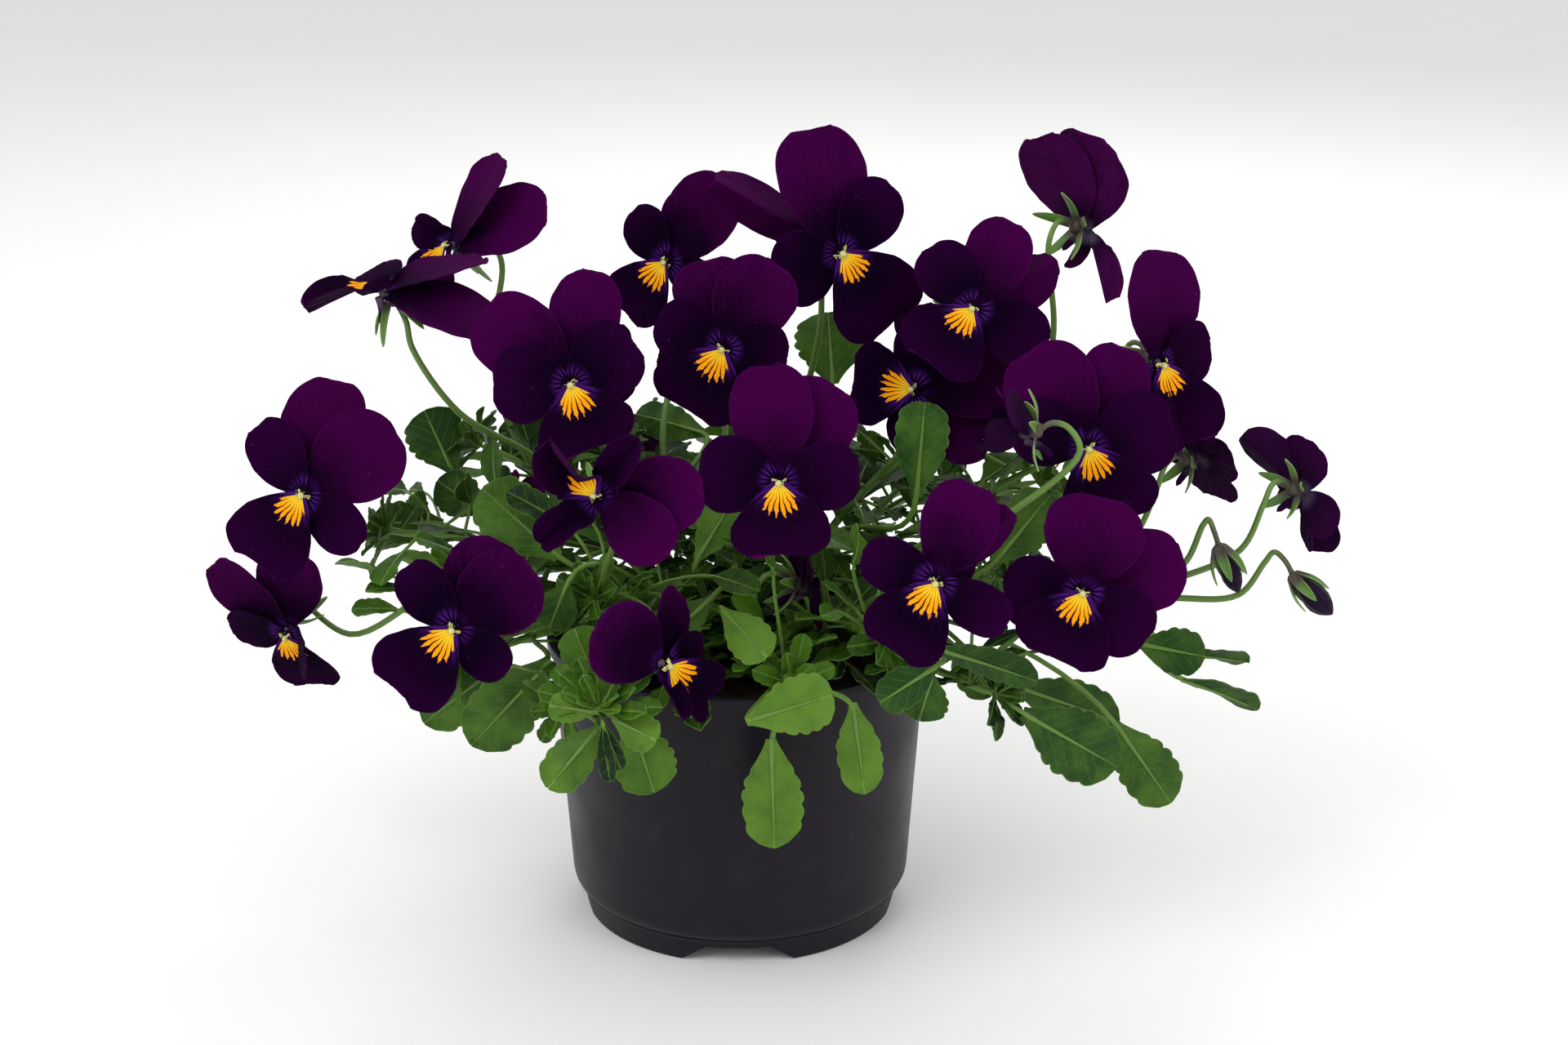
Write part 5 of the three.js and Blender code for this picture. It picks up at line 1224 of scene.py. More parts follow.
def petal_back():
    net = Net("petal_back", roughness=0.7, specular=0.02)
    across, ahead, _ = net.shape()
    radius, turn = polar(net, across, ahead)
    clouds = net.noise(6, 3)
    veins = net.sine(turn * 30 + clouds * 7)
    claw = net.mix(net.tone(), shade(44, 18, 54), shade(150, 134, 168))
    colour = net.mix(net.ramp(radius, 1.5, 5.5), claw, shade(36, 8, 44))
    colour = net.mix(net.ramp(radius, 5, 14) * net.tone(), colour, shade(74, 4, 74))
    colour = net.mix(net.ramp(veins, 0.55, 1.0, 0.0, 0.25), colour, shade(44, 12, 50))
    colour = net.mix(net.ramp(clouds, 0.4, 0.7) * 0.35, colour, shade(26, 2, 32))
    return net.finish(colour, veins, 0.3, 0.2)


def leaf_face(name, dark, bright, vein):
    """One face of the leaves: mottled, with a pale midrib, fainter side veins and a pale rim."""
    net = Net(name, roughness=0.5, specular=0.16)
    across, ahead, share = net.shape()
    aside = abs(across)
    clouds = net.noise(7, 3)
    grain = net.noise(0.8, 2)
    colour = net.mix(net.tone() + (clouds - 0.5) * 1.3 + (grain - 0.5) * 0.35, dark, bright)
    place = (ahead - aside * VEINS["slant"]) / VEINS["spacing"]
    near = abs(net.math("FRACT", place) - 0.5)
    side_veins = net.ramp(near, 0.07, 0.0) * net.ramp(share, 1.0, 0.6)
    colour = net.mix(side_veins * 0.3, colour, vein)
    midrib = net.ramp(aside / (0.5 - ahead * 0.012), 1.2, 0.5)
    colour = net.mix(midrib * net.ramp(net.tone(), 0.0, 1.0, 0.4, 0.75), colour, vein)
    colour = net.mix(net.ramp(share, 0.94, 1.0, 0.0, 0.4), colour, vein)
    return net.finish(colour, grain * 0.5 - net.math("MAXIMUM", side_veins, midrib), 0.45, 0.3)


def stem_green():
    net = Net("stem_green", roughness=0.42)
    across = net.shape()[0]
    clouds = net.noise(4, 3)
    ridges = net.sine(across * 4)
    colour = net.mix(net.tone() + (clouds - 0.5) * 0.6, shade(54, 88, 22), shade(110, 150, 52))
    colour = net.mix(net.ramp(ridges, 0.2, 1.0, 0.0, 0.2), colour, shade(116, 150, 64))
    return net.finish(colour, ridges + clouds, 0.3, 0.2)


def flower_stalk():
    """Light green below, purple-brown where the stalk hooks over."""
    net = Net("flower_stalk", roughness=0.45)
    clouds = net.noise(3, 3)
    bend = net.shape()[2] + (clouds - 0.5) * 0.25
    colour = net.mix(net.ramp(bend, 0.0, 0.75), shade(84, 122, 44), shade(100, 132, 56))
    colour = net.mix(net.ramp(bend, 0.6, 0.9, 0.0, 0.85), colour, shade(70, 54, 56))
    return net.finish(colour, clouds, 0.25, 0.2)


def sepal_green():
    """Green, purple-brown at the root and paler at the edge."""
    net = Net("sepal_green", roughness=0.5)
    _, ahead, share = net.shape()
    clouds = net.noise(2.5, 3)
    colour = net.mix(clouds, shade(62, 106, 28), shade(96, 138, 46))
    colour = net.mix(net.ramp(share, 0.74, 1.0, 0.0, 0.75), colour, shade(136, 156, 100))
    colour = net.mix(net.ramp(ahead, 4.0, 0.5, 0.0, 0.9), colour, shade(72, 56, 60))
    return net.finish(colour, clouds, 0.3, 0.2)


def calyx_base():
    net = Net("calyx_base", roughness=0.5)
    clouds = net.noise(1.6, 3)
    return net.finish(net.mix(clouds, shade(66, 48, 56), shade(80, 78, 54)), clouds, 0.3, 0.2)


def throat_pale():
    """Pale yellow for the stigma and its tufts, dark for the cup, which has a low tone."""
    net = Net("throat_pale", roughness=0.5)
    colour = net.mix(net.noise(0.7, 2), shade(184, 184, 96), shade(222, 220, 150))
    colour = net.mix(net.ramp(net.tone(), 0.55, 0.15, 0.0, 0.96), colour, shade(36, 10, 52))
    return net.finish(colour, net.noise(0.5, 2), 0.2, 0.1)


def bud_petal():
    net = Net("bud_petal", roughness=0.55, specular=0.1, sheen=0.03)
    across, _, share = net.shape()
    stripes = net.sine(across * 9 + net.noise(2.5, 3) * 4)
    colour = net.mix(net.ramp(share, 0.1, 0.8), shade(32, 14, 42), shade(22, 3, 30))
    colour = net.mix(net.ramp(stripes, 0.4, 1.0, 0.0, 0.3), colour, shade(46, 22, 56))
    return net.finish(colour, stripes, 0.3, 0.2)


def pot_plastic():
    """Black plastic, slightly uneven in colour and gloss, with a little dust."""
    net = Net("pot_plastic", specular=0.16)
    broad = net.noise(18, 3)
    dust = net.ramp(net.noise(9, 4, 0.6), 0.52, 0.75)
    colour = net.mix(broad, shade(23, 19, 27), shade(30, 26, 34))
    colour = net.mix(dust * 0.16, colour, shade(60, 56, 56))
    net.feed(net.shader.inputs["Roughness"], net.ramp(broad, 0.3, 0.7, 0.36, 0.5))
    return net.finish(colour, net.noise(0.6, 2) + broad, 0.12, 0.15)


def compost():
    net = Net("compost", roughness=0.95, specular=0.2)
    clods = net.noise(5, 5, 0.65)
    fine = net.noise(0.9, 4, 0.7)
    colour = net.mix(net.ramp(clods, 0.3, 0.7), shade(22, 16, 13), shade(62, 46, 36))
    colour = net.mix(net.ramp(fine, 0.62, 0.78, 0.0, 0.6), colour, shade(112, 88, 66))
    return net.finish(colour, clods + fine, 0.8, 0.8)


PETAL_ROWS = 25
PETAL_COLUMNS = 17
PETAL_THICKNESS = 0.35
BLOOM_SLOTS = dict(upper=0, side=1, lower=2, back=3, throat=4)
RIM = dict(dent=0.02, notch=0.05, notch_width=0.3, spread=0.032, ripple=0.5, fine_ripple=0.2)
GROOVE = dict(depth=0.25, width=0.09)
THROAT_BACK = -3.2
THROAT_CUP = [(1.2, THROAT_BACK), (1.35, -2.4), (1.2, -1.2), (0.95, -0.2), (0.5, 0.2)]
STIGMA = [(0.3, 0.4), (0.7, 0.8), (0.92, 1.3), (0.78, 1.8), (0.36, 2.1)]
# The short hairs at both sides of the throat, for a bloom of size 1.
HAIRS = dict(count=9, radii=[0.2, 0.17, 0.05], aside=(1.1, 2.0), front=0.4, row=1.8, length=(1.2, 2.1))
BUD_RIDGES = dict(count=5, twist=3.2, height=0.07)
CALYX_CUP = [(1.1, -6.0), (1.75, -5.3), (2.1, -4.5), (2.15, -3.6), (1.7, -2.9)]
BUD_SHARES = [0, 0.25, 0.45, 0.62, 0.8, 0.93, 1]
BUD_RADII = [0.42, 0.8, 0.98, 1, 0.78, 0.4, 0.06]


def smooth_noise(places, seed):
    """Smooth noise between -1 and 1 for an array of places, as sums of seeded waves."""
    total = np.zeros_like(places)
    for step, wave in enumerate((1.0, 2.3, 4.1)):
        phase = draw(seed, 60 + step) * math.tau
        total += np.sin(places * wave + phase) / wave ** 0.6
    return total / 2.0


def petal_grid(petal):
    """A petal's middle surface as a fine grid, with a slightly irregular and rippled rim."""
    share = 0.9995 * (1 - (1 - np.linspace(0, 1, PETAL_ROWS)) ** 2)
    along, aside = np.meshgrid(share, np.linspace(-1, 1, PETAL_COLUMNS), indexing="ij")
    seed = petal["seed"]
    across = aside * petal_share(petal["form"], along)
    dent = RIM["dent"] * (1 + smooth_noise(across * 3, seed))
    if petal["kind"] == "lower":
        dent = dent + RIM["notch"] * np.exp(-(across / RIM["notch_width"]) ** 2)
    wander = smooth_noise(along * 8 + np.sign(aside) * 5, seed + 1)
    spread = 1 + RIM["spread"] * wander * (1 - along ** 6)
    points = petal_points(petal, along * (1 - dent * along ** 4), aside, spread)
    edge = np.maximum(np.abs(aside), along ** 2) ** 3
    ripple = smooth_noise(across * 5 + along * 4, seed + 2) * RIM["ripple"] * edge
    fine = smooth_noise(across * 10 + along * 3, seed + 3) * RIM["fine_ripple"] * edge * along
    groove = GROOVE["depth"] * np.exp(-(aside / GROOVE["width"]) ** 2) * np.sin(math.pi * along)
    relief = (ripple + fine - groove) * petal["half"] / 11
    points = points + grid_normals(points) * relief[..., None]
    reach = petal["half"] * petal_share(petal["form"], along) * aside * spread
    rim = np.maximum(np.abs(aside), along)
    shapes = np.stack([reach, petal["length"] * along, rim], 2)
    return points, shapes


# Blooms painted darker than the rest. For the low blooms bloom_21, bloom_22 and bloom_23, the darkness is
# painted shade where they lie low in the plant.
DARK_AND_SHADED_BLOOMS = (
    "bloom_02", "bloom_04", "bloom_05", "bloom_06", "bloom_09", "bloom_13", "bloom_14", "bloom_17",
    "bloom_21", "bloom_22", "bloom_23", "bloom_25",
)
BRIGHT_BLOOMS = (
    "bloom_01", "bloom_07", "bloom_10", "bloom_11", "bloom_12", "bloom_19", "bloom_20", "bloom_24",
)


# Bloom tones from 0 to 1. The dark one is painted shade on the low blooms; petals is the seeded spread
# between the petals of a bloom.
BLOOM_TONES = dict(dark=0.18, usual=0.5, bright=0.78, petals=0.4)


def bloom_tone(bloom):
    """How bright a bloom is painted, from 0 to 1; the dark tone of the low blooms is painted shade."""
    if bloom["name"] in DARK_AND_SHADED_BLOOMS:
        return BLOOM_TONES["dark"]
    return BLOOM_TONES["bright" if bloom["name"] in BRIGHT_BLOOMS else "usual"]


def add_petals(skin, bloom):
    for index in range(len(PETAL_ORDER)):
        petal = petal_frame(bloom, index)
        points, shapes = petal_grid(petal)
        # The tone carries the painted shade of the low blooms.
        tone = bloom_tone(bloom) + BLOOM_TONES["petals"] * (draw(petal["seed"], 9) - 0.5)
        slots = (BLOOM_SLOTS[petal["kind"]], BLOOM_SLOTS["back"])
        skin.sheet(points, PETAL_THICKNESS, slots, shapes, tone)


def add_tufts(skin, bloom, across, down):
    """The tufts of short hairs at both sides of the throat."""
    out, size = bloom["face"]["out"], bloom["size"]
    for side in (-1, 1):
        for hair in range(HAIRS["count"]):
            seed = bloom["seed"] * 31 + hair + (side + 1) * 17
            aside = across * (side * between(HAIRS["aside"], draw(seed, 1)) * size)
            row = down * ((draw(seed, 2) - 0.6) * HAIRS["row"] * size)
            root = bloom["centre"] + aside + out * HAIRS["front"] - row
            way = unit(out * 1.1 - across * side * 0.7 + down * (0.5 * draw(seed, 3)))
            tip = root + way * between(HAIRS["length"], draw(seed, 4)) * size
            path = [root, root + (tip - root) * 0.6, tip]
            skin.tube(path, HAIRS["radii"], BLOOM_SLOTS["throat"], 1.0, 5)


def add_spur(skin, bloom):
    """The spur behind a bloom, slightly bowed and with a round end."""
    out, up = bloom["face"]["out"], bloom["face"]["up"]
    start, end = (bloom["centre"] + out * SPUR[key][0] + up * SPUR[key][1] for key in ("start", "end"))
    shares = np.linspace(0, 1, 9)
    bow = up * SPUR["bow"]
    path = [start + (end - start) * share + bow * math.sin(math.pi * share) for share in shares]
    slimmer = np.minimum(1.0, 1.15 - 0.35 * shares)
    rounding = np.sqrt(np.maximum(1 - np.maximum(0, shares - 0.8) ** 2 / 0.042, 0.04))
    skin.tube(path, SPUR["radius"] * slimmer * rounding, BLOOM_SLOTS["back"], 0.4, 12)


def add_throat(skin, bloom):
    """A small dark cup with the pale stigma in it, and the tufts beside it."""
    out, up, right = (bloom["face"][key] for key in ("out", "up", "right"))
    down = turned(up, right, bloom["angles"][4])
    across = turned(right, up, -bloom["angles"][4])
    head = [(radius * bloom["size"], height) for radius, height in STIGMA]
    skin.turned_form(bloom["centre"], out, THROAT_CUP, BLOOM_SLOTS["throat"], 0.1, 14)
    skin.turned_form(bloom["centre"] + down * 0.5, out, head, BLOOM_SLOTS["throat"], 0.9, 12)
    add_tufts(skin, bloom, across, down)


def bud_ridge(share, turn):
    wave = np.sin(turn * BUD_RIDGES["count"] + share * BUD_RIDGES["twist"])
    return 1 + BUD_RIDGES["height"] * wave * np.sin(math.pi * share)


def build_bloom(bloom, materials):
    skin = Skin()
    add_petals(skin, bloom)
    add_throat(skin, bloom)
    add_spur(skin, bloom)
    skin.build(bloom["name"] + "_petals", materials, "root", bloom["name"])


def build_bud(bloom, materials):
    """A closed bud: petals rolled to a ridged spindle."""
    skin = Skin()
    shares = np.linspace(0, 1, 22)
    reaches = THROAT_BACK + (bloom["length"] - THROAT_BACK) * shares
    path = [bloom["centre"] + bloom["face"]["out"] * reach for reach in reaches]
    radii = bloom["radius"] * np.interp(shares, BUD_SHARES, BUD_RADII)
    skin.tube(path, radii, 0, 0.5, 28, bud_ridge)
    skin.build(bloom["name"] + "_petals", materials, "root", bloom["name"])


SHOOT_SLOTS = dict(leaf=0, leaf_back=1, stem=2, stalk=3, sepal=4, calyx=5)
STEM_STEPS = 26
LEAF_THICKNESS = 0.36
# How fine each kind of blade is, and how deep its edge is cut.
BLADE_GRIDS = dict(
    large=dict(rows=36, columns=9, depth=0.14), leaf=dict(rows=19, columns=7, depth=0.14),
    stipule=dict(rows=17, columns=5, depth=0.85),
)
LARGE_STALK = dict(steps=12, end=0.97, radii=(0.62, 0.75))
LARGE_RIB = dict(first=0.16, last=0.86, steps=10, radius=0.6, tip=0.12, below=0.42, deeper=0.1)
SMALL_STALK = dict(steps=6, radii=(0.5, 0.45))
SMALL_RIB = dict(places=(0.3, 0.55, 0.8), radii=(0.36, 0.26, 0.12), below=0.28)
TWIG = dict(steps=14, radii=(0.9, 0.7))
FLOWER_STALK = dict(steps=8, radii=(0.95, 0.72), hook_radii=(0.75, 0.85, 1.0, 1.15))
SCALLOPS = dict(first=0.22, last=0.93, fade=0.08)
LEAF_RELIEF = dict(quilt=0.16, groove=0.3, groove_width=0.7, wave=0.5)


def leaf_edge(along, teeth, depth):
    """How far a leaf's scalloped edge reaches, as a share of its smooth outline."""
    first, last = SCALLOPS["first"], SCALLOPS["last"]
    place = np.clip((along - first) / (last - first), 0, 1)
    crest = np.abs(np.sin(math.pi * teeth * place)) ** 0.6
    fade = np.clip((along - first) / SCALLOPS["fade"], 0, 1)
    return 1 + fade * depth * (crest - 0.55)


def add_blade(skin, leaf, tone, rows, columns, depth):
    """A leaf's blade, quilted between its side veins, grooved at its rib and waved at its edge."""
    share = 0.02 + 0.9795 * np.linspace(0, 1, rows) ** 0.9
    along, aside = np.meshgrid(share, np.linspace(-1, 1, columns), indexing="ij")
    reach = aside * leaf_edge(along, leaf["teeth"], depth)
    points = leaf_points(leaf, along, reach)
    across = leaf["width"] / 2 * leaf_share(along) * reach
    vein = (leaf["length"] * along - VEINS["slant"] * np.abs(across)) / VEINS["spacing"]
    between_veins = 1 - np.abs(np.sin(math.pi * (vein + 0.5)))
    quilt = LEAF_RELIEF["quilt"] * between_veins * (1 - np.abs(aside) ** 3)
    groove = LEAF_RELIEF["groove"] * np.exp(-(across / LEAF_RELIEF["groove_width"]) ** 2)
    wander = smooth_noise(along * 6 + leaf["seed"], leaf["seed"])
    wave = wander * LEAF_RELIEF["wave"] * np.abs(aside) ** 2
    points = points + leaf["face"] * (wave - groove - quilt)[..., None]
    shapes = np.stack([across, leaf["length"] * along, np.abs(aside)], 2)
    skin.sheet(points, LEAF_THICKNESS, (SHOOT_SLOTS["leaf"], SHOOT_SLOTS["leaf_back"]), shapes, tone)


# How bright the leaves of each shoot are, from 0 to 1, and those of the shoots not named here.
LEAF_TONES = dict(
    shoot_01=0.3, shoot_02=0.15, shoot_04=0.15, shoot_05=0.3, shoot_08=0.1, shoot_10=0.25, shoot_12=0.2,
    shoot_16=0.6, shoot_17=0.05, shoot_18=0.5, shoot_19=0.8,
)
USUAL_LEAF_TONE = 0.45


def leaf_tone(shoot, leaf):
    usual = LEAF_TONES.get(shoot["name"], USUAL_LEAF_TONE)
    return usual - leaf.get("darker", 0) + 0.3 * (draw(leaf["seed"], 6) - 0.5)


def add_leaf(skin, leaf, tone):
    """A large leaf, with its stalk and the rib that the stalk runs on in, under the blade."""
    add_blade(skin, leaf, tone, **BLADE_GRIDS["large"])
    path = bezier_path(leaf["stalk"], 0, LARGE_STALK["end"], LARGE_STALK["steps"])
    radii = list(np.linspace(*LARGE_STALK["radii"], LARGE_STALK["steps"]))
    for along in np.linspace(LARGE_RIB["first"], LARGE_RIB["last"], LARGE_RIB["steps"]):
        below = LARGE_RIB["below"] + LARGE_RIB["deeper"] * along
        path.append(rib_point(leaf, along) - leaf["face"] * below)
        radii.append(LARGE_RIB["radius"] * (1 - along) + LARGE_RIB["tip"])
    skin.tube(path, radii, SHOOT_SLOTS["stem"], 0.6, 8)


def add_small_leaf(skin, leaf, tone):
    """A small leaf or a stipule, which is cut into deep lobes."""
    add_blade(skin, leaf, tone, **BLADE_GRIDS[leaf["kind"]])
    path = bezier_path(leaf["stalk"], 0, 1, SMALL_STALK["steps"])
    path += [rib_point(leaf, along) - leaf["face"] * SMALL_RIB["below"] for along in SMALL_RIB["places"]]
    radii = [*np.linspace(*SMALL_STALK["radii"], SMALL_STALK["steps"]), *SMALL_RIB["radii"]]
    skin.tube(path, radii, SHOOT_SLOTS["stem"], 0.6, 5)


def catmull_rom(points, steps):
    """A smooth path through points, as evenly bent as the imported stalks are."""
    whole = [points[0] * 2 - points[1], *points, points[-1] * 2 - points[-2]]
    path = []
    for before, start, end, after in zip(whole, whole[1:], whole[2:], whole[3:]):
        pairs = ((before, start), (start, end), (end, after))
        first, middle, last = (math.sqrt(distance(*pair)) for pair in pairs)
        leave = (start - before) / first - (end - before) / (first + middle) + (end - start) / middle
        reach = (end - start) / middle - (after - start) / (middle + last) + (after - end) / last
        leave, reach = leave * middle, reach * middle
        for step in range(steps):
            share = step / steps
            path.append(start + leave * share + (end * 3 - start * 3 - leave * 2 - reach) * share ** 2
                        + (start * 2 - end * 2 + leave + reach) * share ** 3)
    return path + [points[-1]]


def add_sepal(skin, bloom, index):
    """A pointed sepal with a small round ear at its root, bowed away from the petals."""
    root, tip = sepal_ends(bloom, index)
    way = unit(tip - root)
    out = bloom["face"]["out"]
    front = unit(out - way * float(out @ way))
    side = np.cross(way, front)
    length = distance(root, tip)
    along, aside = np.meshgrid(np.linspace(-SEPAL["ear"], 1, 13), np.linspace(-1, 1, 5), indexing="ij")
    ear = np.clip(-along / SEPAL["ear"], 0, 1)
    share = np.clip(along, 0, 1)
    half = SEPAL["half_width"] * np.sqrt(np.clip(1 - share ** 1.7, 0.004, 1)) * np.sqrt(1 - 0.75 * ear ** 2)
    reach = half * (0.86 + 0.14 * np.sin(math.pi * share)) * aside
    bow = SEPAL["bow"] * np.sin(math.pi * share) + SEPAL["hollow"] * reach ** 2 - SEPAL["front"]
    points = root + way * (length * along)[..., None] + side * reach[..., None]
    forwards = bloom["closed"] or bloom.get("sepal_leans", SEPAL["leans"])[index] < 0
    points = points + front * bow[..., None] * (-1 if forwards else 1)
    shapes = np.stack([reach, length * share, np.abs(aside)], 2)
    skin.sheet(points, LEAF_THICKNESS, (SHOOT_SLOTS["sepal"],) * 2, shapes, 0.5)


def add_flower_stalk(skin, bloom):
    face = bloom["face"]
    path = [bezier_point(bloom["stalk"], step / STALK_STEPS) for step in range(STALK_STEPS)]
    path = catmull_rom(path + hook_of(bloom)[::-1], FLOWER_STALK["steps"])
    hook_radii = FLOWER_STALK["hook_radii"]
    radii = [*np.linspace(*FLOWER_STALK["radii"], len(path) - len(hook_radii)), *hook_radii]
    skin.tube(path, radii, SHOOT_SLOTS["stalk"], 0.5, 9)
    centre = bloom["centre"] + face["up"] * rise_of(bloom)
    skin.turned_form(centre, face["out"], CALYX_CUP, SHOOT_SLOTS["calyx"], 0.5, 14)
    for index in range(len(SEPAL["turns"])):
        add_sepal(skin, bloom, index)


def build_shoot(shoot, materials):
    skin = Skin()
    radii = np.linspace(STEM["radius"], STEM["tip_radius"], STEM_STEPS)
    radii[-1] = 0.4
    skin.tube(bezier_path(shoot["curve"], 0, 1, STEM_STEPS), radii, SHOOT_SLOTS["stem"], 0.7, 10)
    for twig in shoot["twigs"]:
        radii = np.linspace(*TWIG["radii"], TWIG["steps"])
        skin.tube(bezier_path(twig, 0, 1, TWIG["steps"]), radii, SHOOT_SLOTS["stem"], 0.7, 8)
    for leaf in shoot["leaves"]:
        add_leaf(skin, leaf, leaf_tone(shoot, leaf))
    for leaf in shoot["small_leaves"]:
        brighter = 0.3 * draw(leaf["seed"], 8) - 0.1
        add_small_leaf(skin, leaf, leaf_tone(shoot, leaf) + brighter)
    for bloom in shoot["flowers"]:
        if "stalk" in bloom:
            add_flower_stalk(skin, bloom)
    skin.build(shoot["name"] + "_leafy", materials, "root", shoot["name"])


POT_SIDES = 144
POT_SHARP = 32
HUB = 5  # the turned profiles start and end this far from the axis


def turned_solid(name, profile, sides=POT_SIDES):
    """A closed turned solid from a profile of radius and height that runs up its outside."""
    turns = np.arange(sides) / sides * math.tau
    rings = [ring_points(radius, turns, height) for radius, height in profile]
    faces = [[int(corner) for corner in face] for face in ring_faces(len(profile), sides)]
    mesh = bpy.data.meshes.new(name)
    mesh.from_pydata((np.array(rings).reshape(-1, 3) * MM).tolist(), [], faces)
    return mesh


def extruded_wedge(index, margin):
    """The channel under the pot's floor that runs in from a notch of its foot, grown by a margin."""
    slope = (POT["notch_foot"] - POT["notch_top"]) / 2 / POT["notch_height"]
    foot = POT["notch_foot"] / 2 + margin + slope
    top = POT["notch_top"] / 2 + margin
    ceiling = POT["notch_height"] + margin
    outline = [(-foot, -1), (foot, -1), (top, ceiling), (-top, ceiling)]
    near, far = POT["notch_reach"] - margin, POT["rim"]
    turn = index / POT["notches"] * math.tau
    points = []
    for depth in (near, far):
        for across, height in outline:
            points.append((across * math.cos(turn) + depth * math.sin(turn),
                           across * math.sin(turn) - depth * math.cos(turn), height))
    faces = [(3, 2, 1, 0), (4, 5, 6, 7), (5, 4, 0, 1), (6, 5, 1, 2), (7, 6, 2, 3), (4, 7, 3, 0)]
    mesh = bpy.data.meshes.new("wedge")
    mesh.from_pydata((np.array(points) * MM).tolist(), [], faces)
    return mesh


def drill(index):
    turn = index / POT["notches"] * math.tau
    centre = vec(POT["drain_ring"] * math.sin(turn), -POT["drain_ring"] * math.cos(turn), 0)
    mesh = turned_solid("drill", [(POT["drain"], -10), (POT["drain"], 10)], 40)
    mesh.transform(Matrix.Translation(Vector(centre * MM)))
    return mesh


def cut(mesh, tool):
    """A mesh with another one cut away from it."""
    pair = [bpy.data.objects.new("cut", each) for each in (mesh, tool)]
    for each in pair:
        bpy.context.scene.collection.objects.link(each)
    modifier = pair[0].modifiers.new("cut", "BOOLEAN")
    modifier.operation = "DIFFERENCE"
    modifier.solver = "EXACT"
    modifier.object = pair[1]
    bpy.context.view_layer.update()
    depsgraph = bpy.context.evaluated_depsgraph_get()
    result = bpy.data.meshes.new_from_object(pair[0].evaluated_get(depsgraph))
    for each in pair:
        bpy.data.objects.remove(each)
    bpy.data.meshes.remove(mesh)
    bpy.data.meshes.remove(tool)
    return result


def rounded(start, corner, end, radius, steps=4):
    """Points of a small round corner between two straight stretches of a profile."""
    start, corner, end = (np.array(point, float) for point in (start, corner, end))
    first = corner + unit(start - corner) * radius
    last = corner + unit(end - corner) * radius
    points = []
    for step in range(steps + 1):
        share = step / steps
        bent = first * (1 - share) ** 2 + corner * 2 * share * (1 - share) + last * share ** 2
        points.append(tuple(bent))
    return points


def rounded_profile(corners, radii):
    """A profile with each inner corner rounded by its own radius."""
    profile = [corners[0]]
    for before, corner, after, radius in zip(corners, corners[1:], corners[2:], radii):
        profile += rounded(before, corner, after, radius) if radius else [corner]
    return profile + [corners[-1]]


def pot_profiles():
    """The pot's outer and inner profiles. The inner one is the room that is cut away."""
    wall, floor, high = POT["wall"], POT["floor"], POT["height"]
    low = high - POT["lip_height"]
    foot, foot_top, foot_high = POT["foot"], POT["foot_top"], POT["foot_height"]
    shoulder, shoulder_high, lip, rim = POT["shoulder"], POT["shoulder_height"], POT["lip"], POT["rim"]
    outer = rounded_profile(
        [(HUB, 0), (foot, 0), (foot_top, foot_high), (shoulder, shoulder_high), (lip - 0.4, low),
         (rim, low + 0.5), (rim, high), (HUB, high)],
        [0.8, 1.0, 3.2, 0.3, 0.3, 0.45],
    )
    inner = rounded_profile(
        [(HUB, floor), (foot - wall, floor), (foot_top - wall, foot_high + wall),
         (shoulder - wall, shoulder_high + wall), (lip - wall - 0.4, low), (lip - wall, high + 1),
         (HUB, high + 1)],
        [1.0, 0.5, 1.0, 0.2, 0],
    )
    return outer, inner


def build_pot(material):
    """The thin shell, with the notches and channels under its floor and its drainage holes."""
    outer, inner = pot_profiles()
    outside = turned_solid("pot_outside", outer)
    inside = turned_solid("pot_inside", inner)
    for index in range(POT["notches"]):
        outside = cut(outside, extruded_wedge(index, 0))
        inside = cut(inside, extruded_wedge(index, POT["floor"]))
    shell = cut(outside, inside)
    for index in range(POT["notches"]):
        shell = cut(shell, drill(index))
    shell.name = "pot_shell"
    shell.materials.clear()
    shell.materials.append(material)
    shell.polygons.foreach_set("use_smooth", np.ones(len(shell.polygons), dtype=bool))
    shell.set_sharp_from_angle(angle=POT_SHARP * DEGREES)
    piece = bpy.data.objects.new("pot_shell", shell)
    bpy.context.scene.collection.objects.link(piece)
    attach(piece, "root")
    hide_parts("pot")


SOIL_RINGS = 34
SOIL_SIDES = 120
SOIL_LUMPS = [(7, 1.0), (2.6, 0.6), (1.2, 0.25)]
CRUMBS = dict(
    count=380, heights=[-0.95, -0.6, 0, 0.6, 0.95], radii=[0.3, 0.85, 1.05, 0.8, 0.3], size=(0.5, 1.7),
    lift=0.25, knobs=0.18, small_knobs=0.1,
)


def soil_height(across, back):
    """The lumpy top of the compost."""
    reach = math.hypot(across, back)
    dome = SOIL["middle"] - (SOIL["middle"] - SOIL["edge"]) * (reach / SOIL["dome"]) ** 2
    place = Vector((across, back, 3.0))
    lumps = sum(noise.noise(place / width) * height for width, height in SOIL_LUMPS)
    return dome + lumps * min(1.0, (SOIL["smooth_from"] - reach) / 3)


def wall_inside(height):
    """The radius of the pot's inner wall at a height, less the compost's gap."""
    low, high = POT["shoulder_height"], POT["height"] - POT["lip_height"]
    share = (height - low) / (high - low)
    return POT["shoulder"] + (POT["lip"] - 0.4 - POT["shoulder"]) * share - POT["wall"] - SOIL["gap"]


